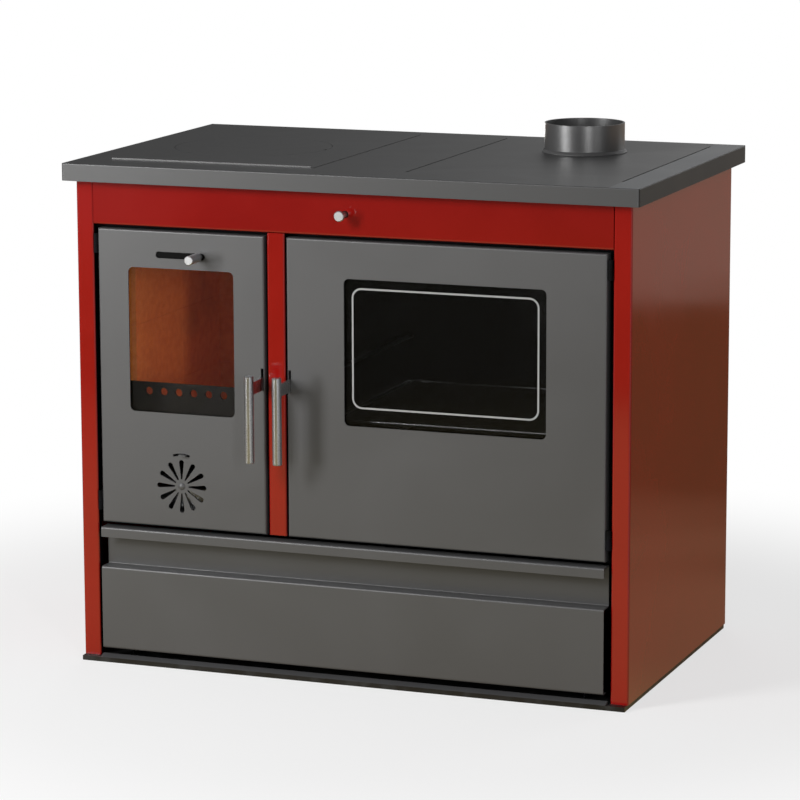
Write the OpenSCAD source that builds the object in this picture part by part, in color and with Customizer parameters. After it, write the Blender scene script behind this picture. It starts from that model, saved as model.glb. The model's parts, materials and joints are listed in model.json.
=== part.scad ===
// Wood-burning cook stove: firebox on the left, oven on the right, drawer below.
// Millimetres. X runs to the right, Y to the back, Z up. The origin is on the
// floor, in the middle of the body's width, in the plane of the front stiles.

/* [Body] */
// Width over the two side panels
body_w = 968; // [940:2:1100]
// Depth of the side panels
body_d = 576; // [560:1:660]
// Thickness of the casing sheet
panel_t = 2; // [1.5:0.1:2.5]
// Inner radius of a fold in the casing sheet
fold_r = 1.5; // [0.5:0.1:2.5]
// Width of the front stile folded from each side panel
stile_w = 30.5; // [24:0.5:40]
// Depth of the fold behind a stile and behind the fascia
stile_return = 14; // [10:1:17]
// Width of the fold at a side panel's rear edge
rear_return = 20; // [12:1:30]
// Width of the red stile between the doors
centre_stile_w = 31.5; // [28:0.5:50]
// Gap between a casing piece and the piece beside it
seat_gap = 0.3; // [0.1:0.1:0.5]

/* [Base] */
// Thickness of the base plate
base_t = 8; // [5:1:12]
// Distance of the base plate's edge inside the side panels
base_inset = 2; // [1:1:20]
// Distance of the base plate's front edge in front of the stiles
base_front = 13; // [8:1:18]
// Width of the flange on which a side panel stands
panel_foot_w = 16; // [12:1:24]
// Height of the sloped sill above the base plate
base_lip_h = 4; // [2:1:10]
// Depth of the sill's slope from front to back
base_lip_d = 13; // [4:1:14]
// Depth of the flat top behind the sill's slope
base_lip_t = 2; // [1.5:0.1:2.5]
// Gap between the sill and a stile
base_lip_gap = 4.5; // [1:0.5:10]

/* [Drawer] */
// Height of the drawer front's lower edge above the floor
drawer_z = 24; // [18:1:30]
// Height of the drawer's flat front
drawer_face_h = 142; // [120:1:160]
// Height of the finger recess above the flat front
recess_h = 51; // [40:1:60]
// Height of the pull lip above the recess
pull_lip_h = 17; // [12:1:24]
// Distance of the drawer front in front of the stiles
drawer_proud = 10; // [6:1:14]
// Depth of the finger recess behind the drawer front
recess_d = 27; // [20:1:50]
// Gap between the drawer front and a stile
drawer_side_gap = 9; // [4:0.5:12]
// Depth of the fold under the drawer front
drawer_fold = 15; // [10:1:16]
// Width of the drawer box outside
drawer_box_w = 800; // [700:2:872]
// Depth of the drawer box
drawer_box_d = 530; // [440:1:534]
// Height of the drawer box
drawer_box_h = 126; // [80:1:128]
// Thickness of the sheet of the drawer box and the ash pan
box_t = 1.5; // [1:0.1:2]
// Thickness of the drawer runners
runner_t = 2; // [1.5:0.1:2.5]
// Width of a runner's ledge under the drawer box
runner_ledge = 31; // [20:1:40]
// Height of a runner's upright above the floor
runner_h = 40; // [34:1:60]
// Gap between a runner's upright and the drawer box
runner_side_gap = 2; // [1:0.5:3]
// Distance of a runner's front end behind the stiles
runner_y = 20; // [18:1:40]

/* [Doors] */
// Width of the fire door
fire_door_w = 299; // [290:1:330]
// Height of both doors
door_h = 500; // [490:1:560]
// Distance of a door's face in front of the stiles
door_proud = 3; // [2:0.5:6]
// Depth of a door's folded edge
door_d = 18; // [18:0.5:20]
// Thickness of the door sheet
door_t = 2; // [1.5:0.1:2.5]
// Outer radius of a door's folded edge
door_r = 3; // [2.5:0.1:4]
// Gap between a door and the stile on its hinge side
hinge_gap = 9.5; // [9:0.1:12]
// Gap between a door and the stile on its latch side
latch_gap = 4.2; // [3:0.1:6]
// Gap between the drawer and the doors
door_drop_gap = 8; // [6:0.5:12]
// Gap between the doors and the fascia
door_top_gap = 6; // [4:0.5:8]

/* [Windows] */
// Width of the fire window
fire_window_w = 190; // [160:1:200]
// Width of the oven window
oven_window_w = 347.5; // [280:0.5:380]
// Height of both windows
window_h = 243.5; // [200:0.5:260]
// Distance from a door's top edge down to its window
window_drop = 62.5; // [60:0.5:80]
// Corner radius of a window
window_r = 9; // [5:0.5:20]
// Thickness of the ceramic glass
glass_t = 4; // [3:0.5:5]
// Overlap of the glass behind the door sheet
glass_lap = 9; // [7:0.5:12]
// Thickness of the tape between the door sheet and the glass
tape_t = 1; // [0.5:0.1:1.5]
// Number of glass clips on each side of a window
clips_per_side = 3; // [2:1:4]
// Width of a glass clip
clip_w = 14; // [10:1:20]
// Thickness of a glass clip
clip_t = 1.5; // [1:0.1:2]
// Length of a clip's foot beside the glass
clip_foot = 6; // [4:0.5:7]
// Length of a clip's finger over the glass
clip_finger = 6; // [4:0.5:7]
// Radius of a clip's screw head
clip_screw_r = 2.6; // [2:0.1:3]
// Height of a clip's screw head
clip_screw_h = 2; // [1:0.1:3]

/* [Seals] */
// Distance from a door's edge to the middle of its seal, except at the latch
seal_inset = 8.7; // [8.4:0.1:10]
// Distance from a door's edge to the middle of its seal, at the latch
seal_latch_inset = 21; // [20:0.5:26]
// Width of the seal
seal_w = 8.2; // [6:0.1:9]
// Thickness of the sheet of the seal's channel
channel_t = 1.5; // [1:0.1:1.6]
// Depth of the channel's groove
groove_d = 4; // [3:0.5:6]
// Corner radius along the middle of the seal
seal_r = 14; // [12:1:20]

/* [Hinges] */
// Radius of a hinge pin
hinge_pin_r = 2.5; // [2:0.1:2.8]
// Radius of a hinge knuckle
knuckle_r = 4; // [3.8:0.1:4.2]
// Height of a hinge knuckle
knuckle_h = 16; // [12:1:24]
// Running clearance round a pin, a rivet and the damper rod
running_gap = 0.05; // [0.02:0.01:0.1]
// Distance from a door's top edge to the middle of its upper hinge
hinge_top_drop = 26; // [20:1:60]
// Distance from a door's lower edge to the middle of its lower hinge
hinge_low_rise = 36; // [30:1:80]
// Thickness of the lug between a door and its knuckle
lug_t = 3; // [2:0.5:4]

/* [Handles] */
// Distance from a door's latch edge to the middle of its lever
lever_inset = 4.6; // [4.6:0.1:5]
// Thickness of the lever
lever_t = 4; // [3:0.1:4]
// Height of the lever's arm
arm_h = 21; // [18:0.5:24]
// Height of the levers' pivots above the doors' lower edge
lever_rise = 254.5; // [200:0.5:300]
// Distance of a lever's pivot behind the stiles
pivot_y = 8; // [6:0.5:9]
// Radius of the lever's pivot pin
pivot_r = 3; // [2:0.1:4]
// Distance of the grip's axis in front of the stiles
grip_out = 59; // [50:1:75]
// Radius of the grip
grip_r = 7.8; // [6:0.1:9]
// Length of the grip
grip_len = 145; // [120:1:180]
// Height of the grip's top above the lever's arm
grip_top_rise = 12; // [6:0.5:15]
// Chamfer on the ends of a grip or knob
knob_chamfer = 1; // [0.5:0.1:1.5]
// Height of the slot in the door above the lever's arm
slot_rise = 15; // [12:0.5:20]
// Clearance round the lever in the door's slot
slot_gap = 0.3; // [0.3:0.05:0.4]
// Reach of the lever's tail behind the stiles
tail_y = 38; // [34:1:42]
// Height of the lever's tail
tail_h = 13; // [10:0.5:16]
// Height of the tooth at the tail's end
tooth_h = 5; // [3:0.5:8]
// Thickness of the catch plates
catch_t = 4; // [3:0.5:5]
// Height of the catch plates
catch_h = 26; // [20:1:30]
// Distance from a lever's pivot up to its catch plate
catch_rise = 9.5; // [9:0.5:12]
// Half the width of a catch plate
catch_half_w = 7.5; // [6.5:0.1:7.8]
// Half the width of the frame's slot round a lever's tail
tail_slot_half_w = 5.5; // [5:0.1:6]
// Depth of the frame's slot below the lever's pivot
tail_slot_drop = 36; // [34:1:50]

/* [Air inlets] */
// Sideways distance of the rosette from the fire door's middle
rosette_offset = -3; // [-10:1:10]
// Height of the rosette's centre above the fire door's lower edge
rosette_rise = 70.7; // [68:0.1:90]
// Number of slots in the rosette
rosette_slots = 12; // [8:1:12]
// Distance from the rosette's centre to a slot's inner end
rosette_in = 12; // [11:0.5:16]
// Distance from the rosette's centre to a slot's outer end
rosette_out = 45; // [38:0.5:46]
// Width of a rosette slot at its outer end
rosette_slot_w = 8.6; // [6:0.1:9]
// Width of a rosette slot at its inner end
rosette_slot_tip = 2.6; // [1.5:0.1:3]
// Radius of the air disc behind the rosette
disc_r = 50; // [49:0.5:51]
// Thickness of the air disc and of the air slide
air_plate_t = 1.5; // [1:0.1:2]
// Radius of the rivet that the air disc turns on
rivet_r = 3; // [2:0.1:4]
// Radius of the rivet's domed head
rivet_head_r = 6.3; // [5:0.1:8]
// Height of the rivet's domed head
rivet_head_h = 3; // [2:0.1:4]
// Radius of the washer that the rivet is closed on
rivet_washer_r = 6; // [5:0.5:8]
// Radius of the curved slot for the air disc's tab
tab_slot_r = 54; // [53:0.5:58]
// Height of the curved slot
tab_slot_w = 4; // [3:0.5:5]
// Half the angle that the curved slot spans
tab_slot_angle = 16; // [15:0.5:20]
// Angle of the tab to the right of the vertical
tab_angle = 4; // [0:0.5:5]
// Width of the tab
tab_w = 12; // [6:0.5:12]
// Thickness of the tab
tab_t = 1.6; // [1:0.1:2]
// Distance that the tab stands out of the door
tab_out = 7; // [4:0.5:12]
// Length of the secondary air slot
air_slot_w = 89; // [60:1:110]
// Height of the secondary air slot
air_slot_h = 11; // [10:0.5:14]
// Distance from the fire door's top edge to the middle of the air slot
air_slot_drop = 40; // [36:0.5:44]
// Height of the air slide
slide_h = 24; // [20:1:26]
// Overlap of the air slide past each end of its slot
slide_lap = 1; // [0.5:0.5:3]
// Radius of the air slide's stem
stem_r = 4.5; // [3:0.1:4.5]
// Distance from the air slot's right end to the stem
stem_inset = 10; // [8:0.5:16]
// Radius of the air slide's knob
air_knob_r = 7.6; // [6:0.1:9]
// Distance from the stiles to the knob's rear face
air_knob_back = 10; // [8:1:16]
// Length of the air slide's knob
air_knob_len = 38; // [20:1:50]

/* [Damper] */
// Sideways position of the damper rod
damper_x = -2.5; // [-60:0.5:60]
// Radius of the damper rod
damper_rod_r = 4; // [3:0.1:5]
// Radius of the damper knob
damper_knob_r = 8.5; // [7:0.1:10]
// Distance from the stiles to the damper knob's rear face
damper_knob_back = 20.5; // [14:0.5:24]
// Length of the damper knob
damper_knob_len = 8; // [6:0.5:14]
// Radius of the hole round the rod in the fascia
fascia_hole_r = 5.8; // [5.5:0.1:8]
// Outer radius of the rod's guide bush
guide_r = 9; // [8:0.5:12]
// Length of the guide bush
guide_len = 5.5; // [4:0.5:6]
// Width of the opening that the damper plate closes
damper_gate_w = 100; // [80:1:140]
// Height of the opening that the damper plate closes
damper_gate_h = 60; // [40:1:64]
// Distance from the hob's underside down to that opening
damper_gate_drop = 29.6; // [20:0.1:40]
// Overlap of the damper plate round its opening
damper_lap = 8; // [5:1:12]
// Thickness of the damper plate
damper_t = 4; // [3:0.5:5]

/* [Hob] */
// Width of the hob
hob_w = 1002; // [984:2:1140]
// Depth of the hob
hob_d = 622; // [610:1:720]
// Height of the hob's top face above the floor
hob_z = 850; // [840:1:900]
// Height of the hob's edge
hob_edge_h = 29.3; // [20:0.1:40]
// Overhang of the hob in front of the stiles
hob_front = 20; // [14:1:30]
// Thickness of the hob's top plate
hob_plate_t = 6; // [5:0.5:8]
// Thickness of the hob's turned-down edge
hob_wall_t = 4; // [3:0.5:6]
// Radius of the hob's upper edges
hob_edge_r = 2; // [1:0.5:3]
// Radius of the hob's corners
hob_corner_r = 4; // [2:0.5:8]
// Width of the expansion grooves
groove_w = 3; // [2:0.5:4]
// Depth of the expansion grooves
groove_cut = 3; // [2:0.5:4]
// Distance from the hob's left edge to the left end of the bar in front of the lid
front_bar_start = 58; // [40:1:80]
// Length of the bar in front of the lid
front_bar_len = 359; // [300:1:400]
// Distance from the hob's front edge to the bar
front_bar_y = 74; // [50:1:90]
// Depth of the bar from front to back
front_bar_w = 4; // [3:0.5:8]
// Height of the bar above the hob
front_bar_h = 3; // [2:0.5:5]
// Radius of the bar's upper edges
front_bar_r = 1; // [0.5:0.1:1.4]
// Sideways position of the groove beside the lid
left_groove_x = -82; // [-100:1:-60]
// Sideways position of the groove in the hob's middle
middle_groove_x = 80; // [40:1:100]
// Distance from the hob's right edge to the right groove
right_groove_inset = 53; // [40:1:80]
// Distance from the hob's front edge to the long grooves
long_groove_start = 76; // [72:1:90]
// Distance from the hob's rear edge to the long grooves
long_groove_end = 42; // [30:1:80]
// Sideways position of the removable lid's centre
lid_x = -290; // [-300:1:-285]
// Distance of the removable lid's centre behind the stiles
lid_y = 300; // [260:1:310]
// Radius of the removable lid
lid_r = 135; // [100:1:137]
// Gap round the removable lid
lid_gap = 0.8; // [0.5:0.1:1.5]
// Width of the ledge ring under the lid's edge
lid_ledge = 13; // [8:1:18]
// Width of the ledge ring outside the lid's hole
lid_ring_lap = 12; // [8:1:14]
// Thickness of the ledge ring
lid_ring_t = 4; // [3:0.5:5]
// Radius of the lifter's notch in the lid's edge
lifter_r = 5; // [3:0.5:8]

/* [Flue] */
// Sideways position of the flue
flue_x = 268; // [200:1:300]
// Distance of the flue's centre behind the stiles
flue_y = 422; // [418:1:445]
// Radius of the flue collar's bore
flue_bore_r = 65; // [50:0.5:75]
// Thickness of the flue collar's wall
flue_t = 3; // [2:0.5:4]
// Height of the flue collar above the hob
flue_h = 50; // [40:1:80]
// Width of the bead round the flue collar's foot
flue_bead_w = 4.5; // [3:0.5:8]
// Height of the bead
flue_bead_h = 6; // [4:0.5:10]
// Step inside the collar that the flue pipe rests on
flue_step = 3; // [2:0.5:6]

/* [Inner body] */
// Distance of the front frame behind the stiles
frame_y = 20; // [20:0.5:22]
// Thickness of the front frame
frame_t = 4; // [3:0.5:5]
// Margin between the middle of a seal and the fire opening
opening_margin = 6.5; // [5.5:0.5:9]
// Thickness of the inner floor
floor_t = 3; // [2:0.5:4]
// Thickness of the firebox's steel
shell_t = 4; // [3:0.5:6]
// Distance of the firebox's left wall outside the fire opening
shell_left_lap = 5; // [3:0.5:8]
// Distance of the firebox's right wall outside the fire opening
shell_right_lap = 10; // [8:0.5:12]
// Distance from the front frame to the firebox's rear wall
firebox_d = 412; // [380:1:416]
// Distance from the hob's top down to the edge of the smoke gap
smoke_gap_drop = 115; // [90:1:120]
// Distance from the front frame to the smoke gap
smoke_gap_inset = 32; // [20:1:60]
// Thickness of the firebricks
brick_t = 30; // [20:1:34]
// Height of the hearth above the inner floor
hearth_rise = 92; // [86:1:100]
// Thickness of the hearth plate
hearth_t = 4; // [3:0.5:5]
// Height of the firebrick walls
brick_h = 360; // [300:1:370]
// Joint between two firebricks
brick_joint = 0.6; // [0.4:0.1:0.9]
// Distance of the log retainer behind the stiles
retainer_y = 51; // [46:1:56]
// Thickness of the log retainer
retainer_t = 4; // [3:0.5:6]
// Gap between the log retainer and the bricks
retainer_gap = 1; // [0.5:0.5:3]
// Height of the log retainer
retainer_h = 145; // [100:1:160]
// Distance from the retainer's top edge to its row of holes
retainer_hole_drop = 15; // [12:1:25]
// Number of holes in the retainer
retainer_holes = 7; // [5:1:8]
// Distance between the retainer's holes
retainer_pitch = 27.3; // [20:0.1:28]
// Radius of the retainer's holes
retainer_hole_r = 6.6; // [4:0.1:8]
// Width of the grate
grate_w = 196; // [180:1:200]
// Length of the grate
grate_d = 312; // [260:1:330]
// Height of the grate
grate_h = 14; // [10:1:20]
// Number of slots across the grate
grate_slots = 8; // [6:1:10]
// Width of the grate's rim and bars
grate_bar = 11; // [9:0.5:14]
// Overlap of the grate on the hearth plate
grate_lap = 10; // [6:1:14]
// Width of the ash pan
ash_pan_w = 184; // [140:1:200]
// Depth of the ash pan
ash_pan_d = 346; // [280:1:380]
// Height of the ash pan
ash_pan_h = 62; // [40:1:72]
// Distance from the front frame to the ash pan
ash_pan_start = 10; // [9:0.5:14]
// Width of the ash pan's bail
ash_bail_w = 92; // [60:1:120]
// Reach of the bail in front of the ash pan
ash_bail_reach = 8; // [6:0.5:9]
// Width of the bail's bar
ash_bail_bar = 3; // [2:0.5:4]
// Width of the oven cavity
oven_w = 470; // [400:1:480]
// Height of the oven cavity
oven_h = 400; // [360:1:410]
// Depth of the oven cavity
oven_d = 446; // [400:1:450]
// Height of the oven cavity's floor above the inner floor
oven_rise = 51; // [40:1:60]
// Thickness of the oven's sheet
oven_t = 3; // [2:0.5:4]
// Height of the first shelf rail above the oven's floor
rail_rise = 58; // [40:1:80]
// Distance from the front frame to the shelf rails
rail_start = 26; // [20:1:40]
// Distance between two shelf rails
rail_pitch = 80; // [60:1:100]
// Width of a shelf rail
rail_w = 12; // [8:1:16]
// Thickness of a shelf rail
rail_t = 2; // [1.5:0.5:3]
// Length of a shelf rail
rail_len = 400; // [340:1:396]
// Radius of the rack's rim
rack_rim_r = 3; // [2:0.5:4]
// Radius of the rack's wires
rack_wire_r = 1.75; // [1:0.25:2]
// Number of wires across the rack
rack_wires = 16; // [10:1:20]
// Depth of the rack
rack_d = 380; // [320:1:390]
// Thickness of the smoke channel's plates
channel_plate_t = 2; // [1.5:0.5:3]
// Distance from a side panel to the smoke channel
channel_side_gap = 22; // [16:1:30]
// Distance from the body's back to the smoke channel
channel_back_gap = 26; // [20:1:30]
// Distance from the front frame to the flue partition
partition_back = 316; // [300:1:330]
// Thickness of the flue partition
partition_t = 3; // [2:0.5:4]

/* [Back] */
// Number of screws down each side of the back panel
back_screws_n = 5; // [3:1:8]
// Radius of a back screw's head
back_screw_r = 4; // [3:0.5:5]
// Height of a back screw's head
back_screw_h = 2; // [1:0.5:3]

/* [Hidden] */

// Facets of a round edge or bore
$fn = 48;
// Steps round one fold of a sheet
fold_steps = 5;
// Length by which a cut runs past the face it opens
over = 1;

// Sideways places, from the left stile to the right one
panel_x = body_w / 2;
stile_x = panel_x - stile_w;
fire_x0 = -stile_x + hinge_gap;
fire_x1 = fire_x0 + fire_door_w;
centre_x0 = fire_x1 + latch_gap;
centre_x1 = centre_x0 + centre_stile_w;
oven_x0 = centre_x1 + latch_gap;
oven_x1 = stile_x - hinge_gap;
fire_mid = (fire_x0 + fire_x1) / 2;
oven_mid = (oven_x0 + oven_x1) / 2;
hinge_x = stile_x - hinge_gap / 2;
fire_lever_x = fire_x1 - lever_inset;
oven_lever_x = oven_x0 + lever_inset;

// Heights, from the floor to the hob
recess_z = drawer_z + drawer_face_h;
pull_z = recess_z + recess_h;
drawer_top = pull_z + pull_lip_h;
door_z0 = drawer_top + door_drop_gap;
door_z1 = door_z0 + door_h;
fascia_z = door_z1 + door_top_gap;
window_z1 = door_z1 - window_drop;
window_z0 = window_z1 - window_h;
lever_z = door_z0 + lever_rise;
air_slot_z = door_z1 - air_slot_drop;
rosette_z = door_z0 + rosette_rise;
hob_under = hob_z - hob_plate_t;
hob_edge_z = hob_z - hob_edge_h;
casing_top = hob_under - seat_gap;
damper_z = (fascia_z + hob_edge_z) / 2;
gate_z1 = hob_under - damper_gate_drop;
gate_z0 = gate_z1 - damper_gate_h;
floor_top = drawer_top + door_drop_gap - floor_t;
hearth_z = floor_top + hearth_rise;

// Depths, from the door faces to the back
door_face = -door_proud;
door_inner = door_face + door_t;
door_back = door_face + door_d;
frame_back = frame_y + frame_t;
back_panel_y = body_d - 2 * panel_t;
channel_y = body_d - channel_back_gap;
rosette_x = fire_mid + rosette_offset;

// Folded sheet: the middle line of the sheet with every bend rounded
function unit(v) = v / norm(v);
function left_of(v) = [-v[1], v[0]];
function turned(v, a) = [v[0] * cos(a) - v[1] * sin(a), v[0] * sin(a) + v[1] * cos(a)];
function bend_angle(a, b) = atan2(a[0] * b[1] - a[1] * b[0], a * b);
function bend_points(p, i, t, r, side) =
    let (before = unit(p[i] - p[i - 1]),
        after = unit(p[i + 1] - p[i]),
        angle = bend_angle(before, after),
        way = sign(angle),
        mid_r = r + t / 2,
        start = p[i] - before * mid_r * tan(abs(angle) / 2),
        centre = start + left_of(before) * way * mid_r)
    [for (k = [0 : fold_steps])
        centre + turned(-way * left_of(before), angle * k / fold_steps) * (mid_r - way * side * t / 2)];
function sheet_side(p, t, r, side) =
    let (last = len(p) - 1)
    concat(
        [p[0] + left_of(unit(p[1] - p[0])) * side * t / 2],
        [for (i = [1 : last - 1]) each bend_points(p, i, t, r, side)],
        [p[last] + left_of(unit(p[last] - p[last - 1])) * side * t / 2]);
function backwards(v) = [for (i = [len(v) - 1 : -1 : 0]) v[i]];
module folded(p, t, r) {
    polygon(concat(sheet_side(p, t, r, 1), backwards(sheet_side(p, t, r, -1))));
}

// A block between its lowest and its highest corner
module block(low, high) {
    translate(low) cube(high - low);
}

// A (y, z) outline from x0 to x1
module slab_x(x0, x1) {
    translate([x0, 0, 0]) rotate([90, 0, 90]) linear_extrude(x1 - x0) children();
}

// An (x, z) outline from y0 to y1
module slab_y(y0, y1) {
    translate([0, y1, 0]) rotate([90, 0, 0]) linear_extrude(y1 - y0) children();
}

// An (x, y) outline from z0 to z1
module slab_z(z0, z1) {
    translate([0, 0, z0]) linear_extrude(z1 - z0) children();
}

// A round bar along y
module bar_y(x, z, r, y0, y1) {
    translate([x, y1, z]) rotate([90, 0, 0]) cylinder(h = y1 - y0, r = r);
}

// A turned knob along y with chamfered ends
module knob_y(x, z, r, y0, y1) {
    translate([x, y1, z]) rotate([90, 0, 0]) rotate_extrude()
        polygon([[0, 0], [r - knob_chamfer, 0], [r, knob_chamfer], [r, y1 - y0 - knob_chamfer],
            [r - knob_chamfer, y1 - y0], [0, y1 - y0]]);
}

// A rectangle with four round corners
module round_rect(x0, x1, y0, y1, r) {
    translate([x0 + r, y0]) square([x1 - x0 - 2 * r, y1 - y0]);
    translate([x0, y0 + r]) square([x1 - x0, y1 - y0 - 2 * r]);
    for (x = [x0 + r, x1 - r], y = [y0 + r, y1 - r]) translate([x, y]) circle(r);
}

// A rectangle with its two corners at y0 round
module round_low_y(x0, x1, y0, y1, r) {
    translate([x0 + r, y0]) square([x1 - x0 - 2 * r, r]);
    translate([x0, y0 + r]) square([x1 - x0, y1 - y0 - r]);
    for (x = [x0 + r, x1 - r]) translate([x, y0 + r]) circle(r);
}

// A rectangle with its two corners at x0 round
module round_low_x(x0, x1, y0, y1, r) {
    translate([x0, y0 + r]) square([r, y1 - y0 - 2 * r]);
    translate([x0 + r, y0]) square([x1 - x0 - r, y1 - y0]);
    for (y = [y0 + r, y1 - r]) translate([x0 + r, y]) circle(r);
}

// A rectangle with its two corners at y1 round
module round_high_y(x0, x1, y0, y1, r) {
    translate([x0, y0]) square([x1 - x0, y1 - y0 - r]);
    translate([x0 + r, y1 - r]) square([x1 - x0 - 2 * r, r]);
    for (x = [x0 + r, x1 - r]) translate([x, y1 - r]) circle(r);
}

// A hole with round ends from x0 to x1
module long_hole(x0, x1, y, w) {
    for (x = [x0 + w / 2, x1 - w / 2]) translate([x, y]) circle(w / 2);
    translate([x0 + w / 2, y - w / 2]) square([x1 - x0 - w, w]);
}

// An open box of sheet: the side that is left out is its top
module open_box(low, high, t) {
    difference() {
        block(low, high);
        block(low + [t, t, t], [high[0] - t, high[1] - t, high[2] + over]);
    }
}

// Base
module base_plate() color([0.06, 0.06, 0.06])
    block([-panel_x + base_inset, -base_front, 0], [panel_x - base_inset, back_panel_y, base_t]);

module base_front_lip() color([0.3, 0.3, 0.3]) {
    lip_top = base_t + base_lip_h;
    crest_y = -base_front + base_lip_d;
    slab_x(-stile_x + base_lip_gap, stile_x - base_lip_gap)
        polygon([[-base_front, base_t], [crest_y, lip_top],
            [crest_y + base_lip_t, lip_top], [crest_y + base_lip_t, base_t]]);
}

// Casing
module side_panel() {
    mid = panel_t / 2;
    slab_z(base_t, casing_top) folded([
        [-panel_x + rear_return, body_d - mid],
        [-panel_x + mid, body_d - mid],
        [-panel_x + mid, mid],
        [-stile_x - mid, mid],
        [-stile_x - mid, stile_return]], panel_t, fold_r);
    block([-panel_x + mid, frame_back, base_t],
        [-panel_x + panel_foot_w, back_panel_y, base_t + panel_t]);
}

module left_side_panel() color([0.55, 0.09, 0.08]) side_panel();

module right_side_panel() color([0.55, 0.09, 0.08]) mirror([1, 0, 0]) side_panel();

module back_panel() color([0.25, 0.25, 0.26])
    block([-panel_x + panel_t + fold_r + seat_gap, back_panel_y, base_t + panel_t + seat_gap],
        [panel_x - panel_t - fold_r - seat_gap, body_d - panel_t, casing_top]);

module back_screws() color([0.6, 0.6, 0.6]) {
    first_z = base_t + rear_return;
    last_z = hob_edge_z - rear_return;
    for (side = [-1, 1], k = [0 : back_screws_n - 1])
        bar_y(side * (panel_x - rear_return / 2 - panel_t / 2),
            first_z + (last_z - first_z) * k / (back_screws_n - 1),
            back_screw_r, body_d, body_d + back_screw_h);
}

module top_fascia() color([0.55, 0.09, 0.08]) {
    mid = panel_t / 2;
    difference() {
        slab_x(-stile_x + seat_gap, stile_x - seat_gap) folded([
            [stile_return, fascia_z + mid],
            [mid, fascia_z + mid],
            [mid, casing_top - mid],
            [stile_return, casing_top - mid]], panel_t, fold_r);
        bar_y(damper_x, damper_z, fascia_hole_r, -over, panel_t + over);
    }
}

module centre_stile() color([0.6, 0.1, 0.08]) {
    mid = panel_t / 2;
    slab_z(door_z0, fascia_z - seat_gap) folded([
        [centre_x0 + mid, frame_y],
        [centre_x0 + mid, mid],
        [centre_x1 - mid, mid],
        [centre_x1 - mid, frame_y]], panel_t, fold_r);
}

// Inner body
fire_open_x0 = fire_x0 + seal_inset + opening_margin;
fire_open_x1 = fire_x1 - seal_latch_inset - opening_margin;
fire_open_z0 = door_z0 + seal_inset + opening_margin;
fire_open_z1 = door_z1 - seal_inset - opening_margin;
oven_cav_x0 = oven_mid - oven_w / 2;
oven_cav_x1 = oven_mid + oven_w / 2;
oven_cav_z0 = floor_top + oven_rise;
oven_cav_z1 = oven_cav_z0 + oven_h;
oven_cav_y1 = frame_back + oven_d;
catch_z = lever_z + catch_rise;

module front_frame() color([0.12, 0.12, 0.12])
    difference() {
        block([-panel_x + panel_t + seat_gap, frame_y, floor_top + seat_gap],
            [panel_x - panel_t - seat_gap, frame_back, casing_top]);
        block([fire_open_x0, frame_y - over, fire_open_z0],
            [fire_open_x1, frame_back + over, fire_open_z1]);
        block([oven_cav_x0, frame_y - over, oven_cav_z0],
            [oven_cav_x1, frame_back + over, oven_cav_z1]);
        for (x = [fire_lever_x, oven_lever_x])
            block([x - tail_slot_half_w, frame_y - over, lever_z - tail_slot_drop],
                [x + tail_slot_half_w, frame_back + over, catch_z + catch_h / 2]);
        bar_y(damper_x, damper_z, damper_rod_r + over, frame_y - over, frame_back + over);
    }

module door_catches() color([0.5, 0.5, 0.5])
    for (x = [fire_lever_x, oven_lever_x])
        block([x - catch_half_w, frame_back, catch_z],
            [x + catch_half_w, frame_back + catch_t, catch_z + catch_h]);

module inner_floor() color([0.12, 0.12, 0.12])
    block([-panel_x + panel_t + seat_gap, frame_y, floor_top - floor_t],
        [panel_x - panel_t - seat_gap, back_panel_y - seat_gap, floor_top]);

// Firebox
shell_x0 = fire_open_x0 - shell_left_lap;
shell_x1 = fire_open_x1 + shell_right_lap;
firebox_y1 = frame_back + firebox_d;
shell_top = hob_under - lid_ring_t - seat_gap;
lid_ring_r = lid_r + lid_gap + lid_ring_lap;
brick_y0 = retainer_y + retainer_t + retainer_gap;
grate_x = (shell_x0 + shell_x1) / 2;
grate_y0 = brick_y0 + (firebox_y1 - brick_t - brick_y0 - grate_d) / 2;
smoke_gap_y0 = frame_back + smoke_gap_inset;

module firebox_shell() color([0.15, 0.15, 0.15])
    difference() {
        block([shell_x0 - shell_t, frame_back + seat_gap, floor_top],
            [shell_x1 + shell_t, firebox_y1 + shell_t, shell_top]);
        block([shell_x0, frame_back, floor_top - over],
            [shell_x1, firebox_y1, shell_top + over]);
        block([shell_x1 - over, smoke_gap_y0, hob_z - smoke_gap_drop],
            [shell_x1 + shell_t + over, frame_back + partition_back - partition_t,
                shell_top + over]);
    }

module hearth_plate() color([0.15, 0.15, 0.15])
    difference() {
        block([shell_x0 + seat_gap, frame_back + seat_gap, hearth_z - hearth_t],
            [shell_x1 - seat_gap, firebox_y1 - seat_gap, hearth_z]);
        block([grate_x - grate_w / 2 + grate_lap, grate_y0 + grate_lap, hearth_z - hearth_t - over],
            [grate_x + grate_w / 2 - grate_lap, grate_y0 + grate_d - grate_lap, hearth_z + over]);
    }

// A wall of bricks, in rows and columns with a joint between them
module brick_wall(low, high, across, columns, rows) {
    step = [for (i = [0 : 2]) (high[i] - low[i]) / (i == 2 ? rows : i == across ? columns : 1)];
    for (column = [0 : columns - 1], row = [0 : rows - 1]) {
        corner = [for (i = [0 : 2]) low[i] + step[i] * (i == 2 ? row : i == across ? column : 0)];
        shrink = [for (i = [0 : 2]) i == 2 || i == across ? brick_joint : 0];
        block(corner, corner + step - shrink);
    }
}

module firebricks_left() color([0.55, 0.32, 0.2])
    brick_wall([shell_x0 + seat_gap, brick_y0, hearth_z],
        [shell_x0 + brick_t, firebox_y1 - seat_gap, hearth_z + brick_h], 1, 2, 3);

module firebricks_right() color([0.55, 0.32, 0.2])
    brick_wall([shell_x1 - brick_t, brick_y0, hearth_z],
        [shell_x1 - seat_gap, firebox_y1 - seat_gap, hearth_z + brick_h], 1, 2, 3);

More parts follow.
